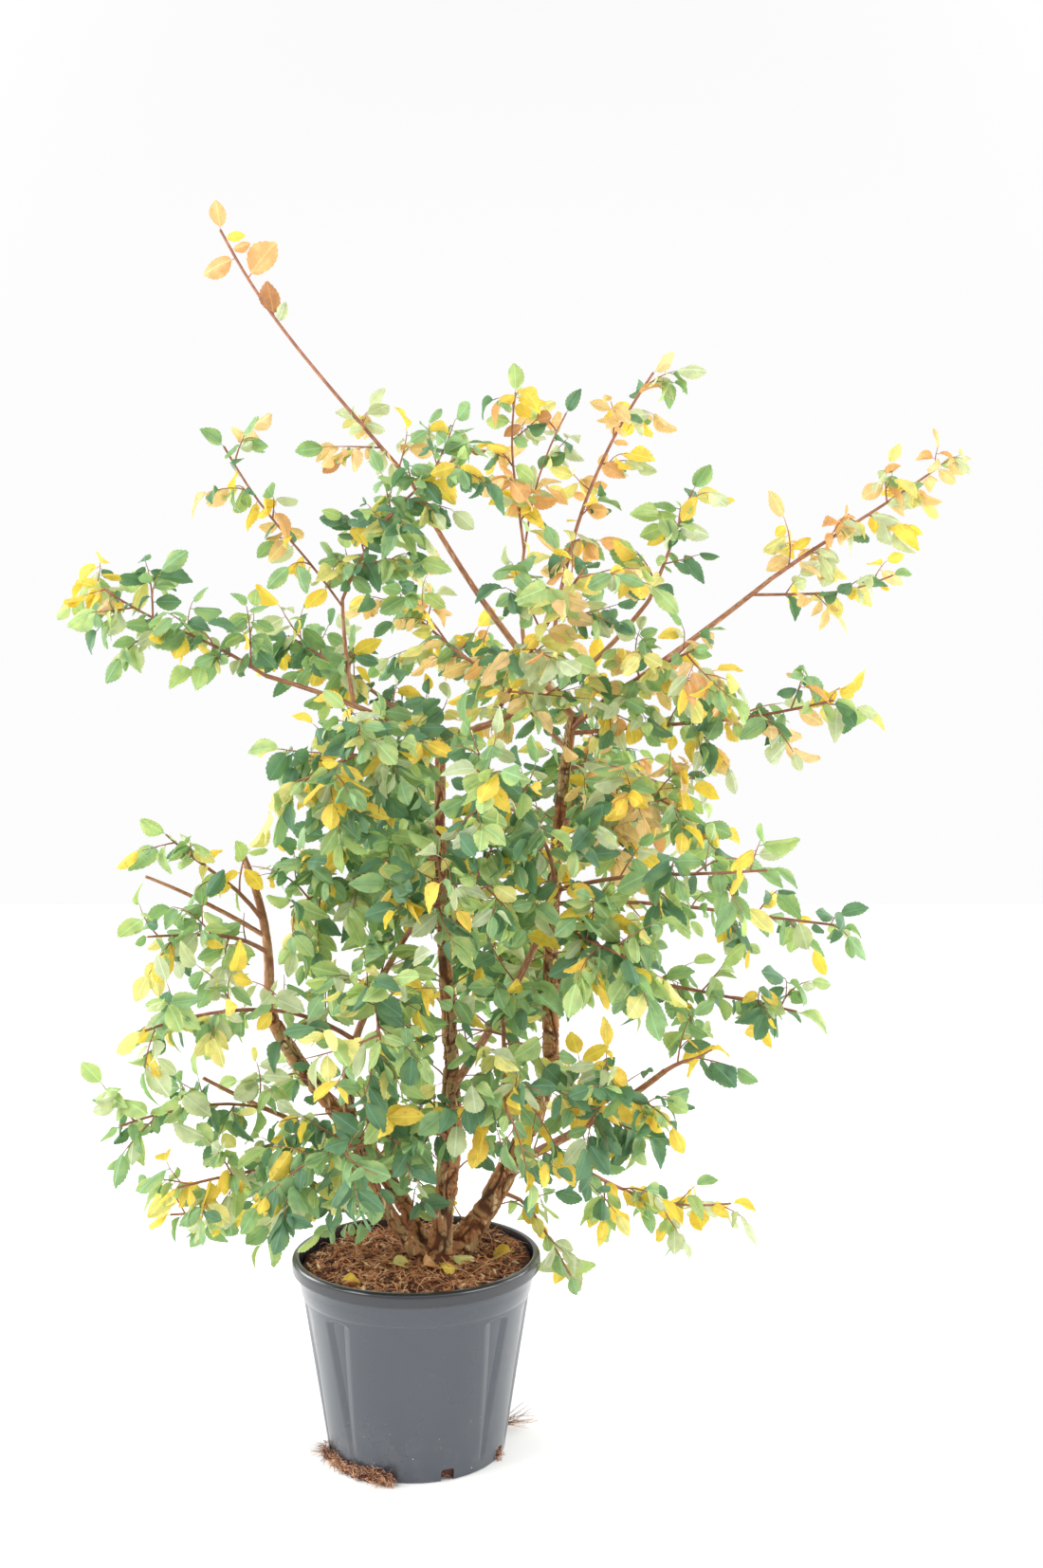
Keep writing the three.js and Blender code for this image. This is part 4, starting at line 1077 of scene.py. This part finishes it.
def leafShape(index):  # one leaf along +X, a unit long with its stalk, its face up
    droop, fold, twist = [leafForm[key][index] for key in ("droop", "fold", "twist")]
    stalk, points, places = leafForm["stalk"], [], []

    def put(x, y, lift=0.0):
        lean = twist * (x - 0.4) * y
        points.append((x - 0.25 * droop * x * x, y, -droop * x * x + fold * abs(y) + lean + lift))
        places.append((x, y))
    put(stalk, 0)
    for spot, half in zip(leafForm["spots"], leafForm["halves"]):
        x = stalk + (1 - stalk) * spot
        ripple = leafForm["ripple"] * math.sin(11 * spot + 1.7 * index)
        for y in (-half * 0.96, -half * 0.5, 0, half * 0.5, half * 1.04):
            bowed = 0.10 * abs(fold) * (1 - abs(2 * abs(y) / half - 1)) if y else 0
            skew = 0.03 * (1 if y > 0 else -1) * (1 - spot) if y else 0
            wave = ripple * (1 if y > 0 else -0.8) if abs(y) > half * 0.8 else 0
            put(x + skew, y, bowed + wave)
    put(1, 0)
    last = len(points) - 1
    faces = [(0, 2 + k, 1 + k) for k in range(4)]
    for row in range(6):
        a = 1 + row * 5
        faces += [(a + k, a + k + 1, a + k + 6, a + k + 5) for k in range(4)]
    faces += [(last, 31 + k, 32 + k) for k in range(4)]
    for edge, turned in ((0, False), (4, True)):  # saw teeth
        rim = [0] + [1 + row * 5 + edge for row in range(7)] + [last]
        for a, b in zip(rim, rim[1:]):
            start, end = Vector(points[a]), Vector(points[b])
            out = leafForm["tooth"] if edge else -leafForm["tooth"]
            tooth = start.lerp(end, 0.72) + Vector((0.004, out, fold * abs(out)))
            points.append(tuple(tooth))
            places.append((tooth.x, tooth.y))
            faces.append((b, a, len(points) - 1) if turned else (a, b, len(points) - 1))
    first, thin = len(points), leafForm["stalkHalf"]
    for x, size in ((0, 1.3), (stalk + 0.02, 1.0)):  # the stalk has three sides
        for y, z in ((-thin, 0), (thin, 0), (0, -1.6 * thin)):
            points.append((x, y * size, z * size - droop * x * x))
            places.append((x, 0.5))
    faces += [(first + k, first + (k + 1) % 3, first + 3 + (k + 1) % 3, first + 3 + k) for k in range(3)]
    shape = meshPiece(f"leafShape{index}", points, faces)
    giveValues(shape.data, "leafPlace", "FLOAT_VECTOR", [(x, y, 0) for x, y in places])
    return shape


def leafTree():
    inputs = {"Shapes": "NodeSocketCollection", "Finish": "NodeSocketMaterial"}
    tree, maker, wires = geometryTree("leaves on twigs", inputs)
    shapes = maker.add("GeometryNodeCollectionInfo", None,
                       {0: wires["Shapes"], "Separate Children": True, "Reset Children": True})
    turn = maker.add("GeometryNodeInputNamedAttribute", {"data_type": "FLOAT_VECTOR"}, {0: "turn"})
    size = maker.add("GeometryNodeInputNamedAttribute", {"data_type": "FLOAT_VECTOR"}, {0: "size"})
    kind = maker.add("GeometryNodeInputNamedAttribute", {"data_type": "INT"}, {0: "kind"})
    rotation = maker.add("FunctionNodeEulerToRotation", None, {0: turn})
    values = {"Points": wires["Geometry"], "Instance": shapes, "Pick Instance": True,
              "Instance Index": kind, "Rotation": rotation, "Scale": size}
    placed = maker.add("GeometryNodeInstanceOnPoints", None, values)
    closeTree(tree, maker, placed, wires["Finish"])
    return tree


def twigTree():
    inputs = {"Sides": "NodeSocketInt", "Finish": "NodeSocketMaterial"}
    tree, maker, wires = geometryTree("twigs along paths", inputs)
    paths = maker.add("GeometryNodeMeshToCurve", None, {0: wires["Geometry"]})
    thick = maker.add("GeometryNodeInputNamedAttribute", {"data_type": "FLOAT"}, {0: "thick"})
    values = {"Resolution": wires["Sides"], "Radius": 1.0}
    ring = maker.add("GeometryNodeCurvePrimitiveCircle", None, values)
    values = {"Curve": paths, "Profile Curve": ring, "Scale": thick, "Fill Caps": True}
    wood = maker.add("GeometryNodeCurveToMesh", None, values)
    smooth = maker.add("GeometryNodeSetShadeSmooth", None, {0: wood, "Shade Smooth": True})
    closeTree(tree, maker, smooth, wires["Finish"])
    return tree


def tubes(name, paths, tree, sides, material):
    points, edges, thick = [], [], []
    for path in paths:
        first = len(points)
        points += [tuple(point) for point, _ in path]
        thick += [radius for _, radius in path]
        edges += [(first + k, first + k + 1) for k in range(len(path) - 1)]
    mesh = bpy.data.meshes.new(name + "Paths")
    mesh.from_pydata(points, edges, [])
    giveValues(mesh, "thick", "FLOAT", thick)
    start = bpy.data.objects.new(name + "Paths", mesh)
    scene.collection.objects.link(start)
    return grown(name, start, tree, {"Sides": sides, "Finish": material})


def placeLeaves(name, chosen, tree, group, material):
    mesh = bpy.data.meshes.new(name + "Spots")
    mesh.from_pydata([tuple(leaf[0]) for leaf in chosen], [], [])
    giveValues(mesh, "turn", "FLOAT_VECTOR", [leaf[1] for leaf in chosen])
    giveValues(mesh, "size", "FLOAT_VECTOR", [leaf[2] for leaf in chosen])
    giveValues(mesh, "kind", "INT", [leaf[3] for leaf in chosen])
    start = bpy.data.objects.new(name + "Spots", mesh)
    scene.collection.objects.link(start)
    return grown(name, start, tree, {"Shapes": group, "Finish": material})


def leafFinish(tint, rim, turned):
    def build(maker):
        place = maker.objectPlace()
        chart = maker.add("ShaderNodeAttribute", {"attribute_name": "leafPlace"}, None, 1)
        x = maker.add("ShaderNodeSeparateXYZ", None, {0: chart}, 0)
        y = maker.add("ShaderNodeSeparateXYZ", None, {0: chart}, 1).size()
        midrib = y.between(0.03, 0.004)
        vein = maker.add("ShaderNodeMath", {"operation": "PINGPONG"}, {0: x - y * 0.75, 1: 0.045})
        veins = vein.between(0.009, 0.0) * 0.45
        mottle = maker.noise(place, 55.0, 4.0)
        fine = maker.noise(place, 420.0, 2.0)
        plain = colour(*tint)
        deep = tuple(channel * 0.72 for channel in plain[:3]) + (1.0,)
        light = tuple(min(1, channel * 1.5 + 0.03) for channel in plain[:3]) + (1.0,)
        base = maker.blend(mottle.between(0.38, 0.62), deep, plain)
        edge = y.between(0.04, 0.24) * maker.noise(place, 34.0, 2.0).between(0.4, 0.62)
        base = maker.blend(edge * 0.8, base, colour(*rim))
        base = maker.blend(midrib * 0.6 + veins * 0.5, base, light)
        if turned:
            spots = maker.noise(place, 130.0, 3.0).between(0.6, 0.72)
            base = maker.blend(spots * 0.5, base, colour(*spotTint))
        relief = (midrib + veins) * -0.6 + fine * 0.4
        surface = principled(maker, {"Base Color": base, "Roughness": fine * 0.2 + 0.5,
                                     "Specular IOR Level": 0.4, "Normal": maker.bump(relief, 0.5, 0.0006)})
        glow = tuple(min(1, channel * 1.25) for channel in (plain[0], plain[1], plain[2] * 0.6)) + (1.0,)
        through = maker.add("ShaderNodeBsdfTranslucent", None, {"Color": glow})
        return maker.add("ShaderNodeMixShader", None, {0: 0.32, 1: surface, 2: through})
    return build


def twigFinish(maker):
    place = maker.objectPlace()
    patch = maker.noise(place, 60.0, 3.0)
    spots = maker.noise(place, 900.0, 2.0)
    base = maker.blend(patch.between(0.35, 0.7), barkColours["twig"], barkColours["paleTwig"])
    base = maker.blend(spots.between(0.62, 0.72) * 0.6, base, barkColours["twigSpot"])
    return principled(maker, {"Base Color": base, "Roughness": patch * 0.2 + 0.5,
                              "Normal": maker.bump(spots, 0.4, 0.0003)})


screenWood = []  # the bare wood as the photo's camera sees it
for limb in [limbByName[name] for name in bareWood]:
    for a, b, radius in limb["parts"]:
        reach = (radius + beforeWood["margin"]) / (a.y - viewpoint.y)
        screenWood.append((seenFrom(a), seenFrom(b), a.y, reach))
for index, mass in enumerate(masses):
    growMass(mass, index)
for index, limb in enumerate([limbByName[name] for name in shootRule["stems"]]):
    growShoots(limb, index)
fallen = [  # leaves that lie on the mulch: place, turn, tilt, length, shape and colour
    (-40, -72, 0.5, 0.4, 62, 4, "lime"), (12, -84, 0.9, 0.5, 56, 6, "orange"),
    (40, -96, 0.7, 0.6, 72, 2, "yellow"), (56, -42, 0.3, 0.4, 42, 5, "lime"),
    (160, -8, 2.9, -0.35, 66, 4, "yellow"), (-112, -124, 0.2, 0.3, 40, 6, "yellow"),
    (-90, -134, 2.0, 0.2, 34, 2, "orange"),
]
for x, y, turn, tilt, length, kind, tint in fallen:
    z = float(soilHeight(np.array(x), np.array(y))) + 15  # on top of the loose pieces
    size = (length * mm, length * mm, length * 0.9 * mm)
    leaves.append((Vector((x, y, z)) * mm, (tilt, 0.1, turn), size, kind, tint))
twigMaterial = newMaterial("reddish twig bark", twigFinish)
pathTree = twigTree()
allMasses = [mass["name"] for mass in masses]
twigWood = tubes("twigWood", twigs, pathTree, 6, twigMaterial)
dress(twigWood, "young_bark", *allMasses)
print("twigs", len(twigs), len(twigWood.data.polygons))
leafGroup = shapeCollection("leaf shapes", [leafShape(index) for index in range(leafRule["kinds"])])
sprayTree = leafTree()
for tint, (screen, rim) in leafTints.items():
    chosen = [leaf for leaf in leaves if leaf[4] == tint]
    material = newMaterial(tint + " leaf", leafFinish(screen, rim, tint in turnedTints))
    piece = placeLeaves(tint + "Leaves", chosen, sprayTree, leafGroup, material)
    dress(piece, "foliage", *allMasses)
    print("leaves", tint, len(chosen), len(piece.data.polygons))
dropCollection(leafGroup)
print("leaves in all", len(leaves))


# roots that come out of the drainage notches

rootTints = {"Dark": ((62, 32, 22), (112, 64, 46)), "Light": ((190, 128, 92), (240, 194, 154))}
rootRule = {  # mm, and degrees round the foot from the front; pairs: the least, and how much more at most
    "seed": 77, "thick": 0.55, "lowest": 0.8,
    "mat": {"strands": 330, "from": -76, "to": -14, "deep": 12, "high": 22, "stride": 3.2,
            "steps": (6, 8), "girth": (0.45, 0.9), "loose": 1.35, "hold": 0.05},
    "curls": {"count": 110, "steps": (5, 5), "stride": 3.2, "girth": (0.5, 0.8), "drift": 0.7, "sag": 0.22},
    "loops": {"count": 150, "steps": (4, 5), "stride": 3.4, "fine": (0.3, 0.25), "drift": 0.8, "sag": 0.12},
    "hairs": {"count": 80, "steps": (5, 5), "stride": 4, "fine": (0.22, 0.12), "drift": 0.3, "sag": 0},
    "wisps": {"count": 40, "steps": (8, 6), "stride": 6, "fine": (0.36, 0.2), "drift": 0.26, "sag": 0,
              "at": 112.5},
    "tuft": {"girth": (0.5, 0.8), "drift": 0.6, "sag": 0.06},
    "tufts": {  # at each notch: how many threads, their fewest steps and their stride
        22.5: (26, 3, 2.4), 67.5: (80, 4, 3.6), -22.5: (30, 4, 3.0), 112.5: (26, 5, 4.2),
        157.5: (30, 5, 4.2), -112.5: (40, 5, 4.8), -157.5: (34, 5, 4.8),
    },
}


def footPoint(degrees, out, z):
    a = math.radians(degrees)
    return Vector((out * math.sin(a), -out * math.cos(a), z))


def alongFoot(degrees):
    a = math.radians(degrees)
    return Vector((math.cos(a), math.sin(a), 0))


def buildRoots():
    draw = seededRandom(rootRule["seed"])
    paths, mat = [], rootRule["mat"]

    def radiusOf(rule):
        if "fine" in rule:
            return within(rule["fine"], draw)
        return rootRule["thick"] * within(rule["girth"], draw)

    def thread(point, heading, rule):
        least, more = rule["steps"]
        steps = least + int(more * draw())
        radius, path = radiusOf(rule), []
        for step in range(steps):
            path.append((point * mm, radius * (1 - 0.6 * step / steps) * mm))
            heading = (heading + anyWay(draw) * rule["drift"] - up * rule["sag"]).normalized()
            point = point + heading * rule["stride"]
            point.z = max(point.z, rootRule["lowest"])
        paths.append(path)
    for index in range(mat["strands"]):  # the mat that hugs the left of the foot
        share = draw()
        degrees = mat["from"] + (mat["to"] - mat["from"]) * share
        swell = 0.62 + 0.6 * abs(share - 0.45)  # it is thickest at both ends
        sense = 1 if draw() < 0.5 else -1
        middle, high = mat["deep"] * draw() * swell, mat["high"] * draw() ** 1.2 * swell
        point, heading, path = footPoint(degrees, pot["foot"] + middle, 1 + high), Vector((0, 0, 0)), []
        least, more = mat["steps"]
        count, radius = least + int(more * draw()), radiusOf(mat)
        for step in range(count + 1):
            path.append((point * mm, radius * (1 - 0.5 * step / count) * mm))
            degrees = math.degrees(math.atan2(point.x, -point.y))
            outwards = footPoint(degrees, 1, 0)
            off = point.dot(outwards) - pot["foot"] - middle
            heading = heading * 0.5 + alongFoot(degrees) * sense * 0.5 + anyWay(draw) * mat["loose"]
            heading = heading - outwards * off * mat["hold"] - up * (point.z - high) * mat["hold"]
            heading.normalize()
            if not mat["from"] < degrees < mat["to"]:
                sense = -sense
            point = point + heading * mat["stride"]
            reach = max(pot["foot"] + 1, point.dot(outwards))
            point = point + outwards * (reach - point.dot(outwards))
            point.z = max(point.z, rootRule["lowest"])
        paths.append(path)
    for index in range(rootRule["curls"]["count"]):  # its curled end
        degrees = mat["to"] - 5 * draw()
        heading = alongFoot(degrees) * 0.8 + up * (draw() - 0.2) + footPoint(degrees, 0.5, 0)
        start = footPoint(degrees, pot["foot"] + 2 + 7 * draw(), 3 + 15 * draw())
        thread(start, heading, rootRule["curls"])
    for index in range(rootRule["loops"]["count"]):  # loops that stand off along it
        degrees = mat["from"] + (mat["to"] - mat["from"]) * draw()
        heading = alongFoot(degrees) + footPoint(degrees, 0.7 * draw(), 0) + up * (draw() - 0.3)
        start = footPoint(degrees, pot["foot"] + 3 + 7 * draw(), 3 + 12 * draw())
        thread(start, heading, rootRule["loops"])
    for index in range(rootRule["hairs"]["count"]):  # loose hairs
        degrees = mat["from"] + 6 * draw() if draw() < 0.6 else mat["to"] - 8 * draw()
        heading = footPoint(degrees, 1, 0) + alongFoot(degrees) * (draw() - 0.6) + up * 0.5 * (draw() - 0.3)
        thread(footPoint(degrees, pot["foot"] + 5, 3 + 14 * draw()), heading, rootRule["hairs"])
    for middle, (count, steps, stride) in rootRule["tufts"].items():
        rule = dict(rootRule["tuft"], steps=(steps, 3), stride=stride)
        for index in range(count):  # tufts in the other notches
            degrees = middle + 6 * (draw() - 0.5)
            spread = Vector((draw() - 0.5, draw() - 0.5, 0.7 * (draw() - 0.4)))
            heading = (footPoint(middle, 1, 0) * 0.5 + spread).normalized()
            thread(footPoint(degrees, pot["foot"] - 8, 2 + 14 * draw()), heading, rule)
    for index in range(rootRule["wisps"]["count"]):  # thin light wisps behind the right side
        degrees = rootRule["wisps"]["at"] + 6 * (draw() - 0.5)
        heading = Vector((1.0, 0.5 * (draw() - 0.5), 0.2 + 0.5 * (draw() - 0.4)))
        thread(footPoint(degrees, pot["foot"] - 6, 5 + 8 * draw()), heading, rootRule["wisps"])
    return paths


def rootFinish(dark, light):
    def build(maker):
        place = maker.objectPlace()
        patch = maker.noise(place, 210.0, 3.0)
        base = maker.blend(patch.between(0.38, 0.62), colour(*dark), colour(*light))
        return principled(maker, {"Base Color": base, "Roughness": patch * 0.2 + 0.65,
                                  "Normal": maker.bump(patch, 0.5, 0.0004)})
    return build


rootPaths = buildRoots()
for offset, (shade, (dark, light)) in enumerate(rootTints.items()):
    material = newMaterial(shade.lower() + " fibrous roots", rootFinish(dark, light))
    roots = tubes("rootThreads" + shade, rootPaths[offset::2], pathTree, 3, material)
    dress(roots, "bark_mulch", "soil")
    print("roots", shade, len(roots.data.polygons))


# floor, light and camera

studio = {  # the floor's side in metres, and how bright the light is from each side
    "floorSize": 14.0, "sky": 1.14, "dim": 0.72, "flanks": 1.7, "ceiling": 0.25, "strip": 0.9,
    "backdrop": 0.16,
}
lamps = {  # softboxes: place and aim in metres, side and watts
    "keyLight": ((-2.7, -1.5, 2.5), (0, 0, 0.9), 2.0, 96),
    "fillLight": ((2.8, -1.3, 2.0), (0, 0, 0.8), 2.0, 54),
    "leftGlow": ((-1.7, 0.9, 1.3), (-0.5, 0.25, 0), 0.9, 15),
    "rightGlow": ((1.8, 0.9, 1.3), (0.5, 0.25, 0), 0.9, 15),
}


def floorFinish(maker):
    cloud = maker.noise(maker.objectPlace(), 2.0, 3.0)
    base = maker.blend(cloud, (0.88, 0.88, 0.88, 1), (0.9, 0.9, 0.9, 1))
    return principled(maker, {"Base Color": base, "Roughness": 0.7})


half = studio["floorSize"] / 2
corners = [(-half, -half, 0), (half, -half, 0), (half, half, 0), (-half, half, 0)]
floorMaterial = newMaterial("pale studio floor", floorFinish)
floor = meshPiece("studioFloor", corners, [(0, 1, 2, 3)], floorMaterial)

world = bpy.data.worlds.new("studio light")
world.use_nodes = True
world.node_tree.nodes.clear()
walls = Maker(world.node_tree)  # a white studio: brightest to both sides, dim overhead and at the camera
heading = walls.add("ShaderNodeTexCoord", None, None, 0)
across, depth, height = [walls.add("ShaderNodeSeparateXYZ", None, {0: heading}, axis) for axis in range(3)]
strength = depth.between(-0.95, 0.1) * (studio["sky"] - studio["dim"]) + studio["dim"]
strength = strength + across.size().between(0.4, 0.9) * depth.between(-0.3, 0.5) * studio["flanks"]
strength = strength - height.between(0.2, 1.0) * studio["ceiling"]
front = height.between(0.35, 0.5) * height.between(0.8, 0.65) * depth.between(-0.3, -0.55)
strength = strength + front * studio["strip"]  # a row of lamps above the camera
strength = strength - depth.between(0.8, 0.95) * studio["backdrop"]
background = walls.add("ShaderNodeBackground", None, {"Color": (1, 1, 1, 1), "Strength": strength})
walls.add("ShaderNodeOutputWorld", None, {"Surface": background})
scene.world = world


def softbox(name, place, aim, size, power):
    light = bpy.data.lights.new(name, "AREA")
    light.shape = "RECTANGLE"
    light.size = light.size_y = size
    light.energy = power
    lamp = bpy.data.objects.new(name, light)
    lamp.location = place
    lamp.rotation_euler = (Vector(aim) - Vector(place)).to_track_quat("-Z", "Y").to_euler()
    lamp.visible_camera = False
    scene.collection.objects.link(lamp)


for name, (place, aim, size, power) in lamps.items():
    softbox(name, place, aim, size, power)

camera = bpy.data.cameras.new("photoCamera")
camera.sensor_width = 36
camera.lens = photoView["focal"] / photoView["tall"] * camera.sensor_width
photographer = bpy.data.objects.new("photoCamera", camera)
photographer.location = Vector(photoView["place"]) * mm
photographer.rotation_euler = (math.radians(90 - photoView["tilt"]), 0, 0)
scene.collection.objects.link(photographer)
scene.camera = photographer
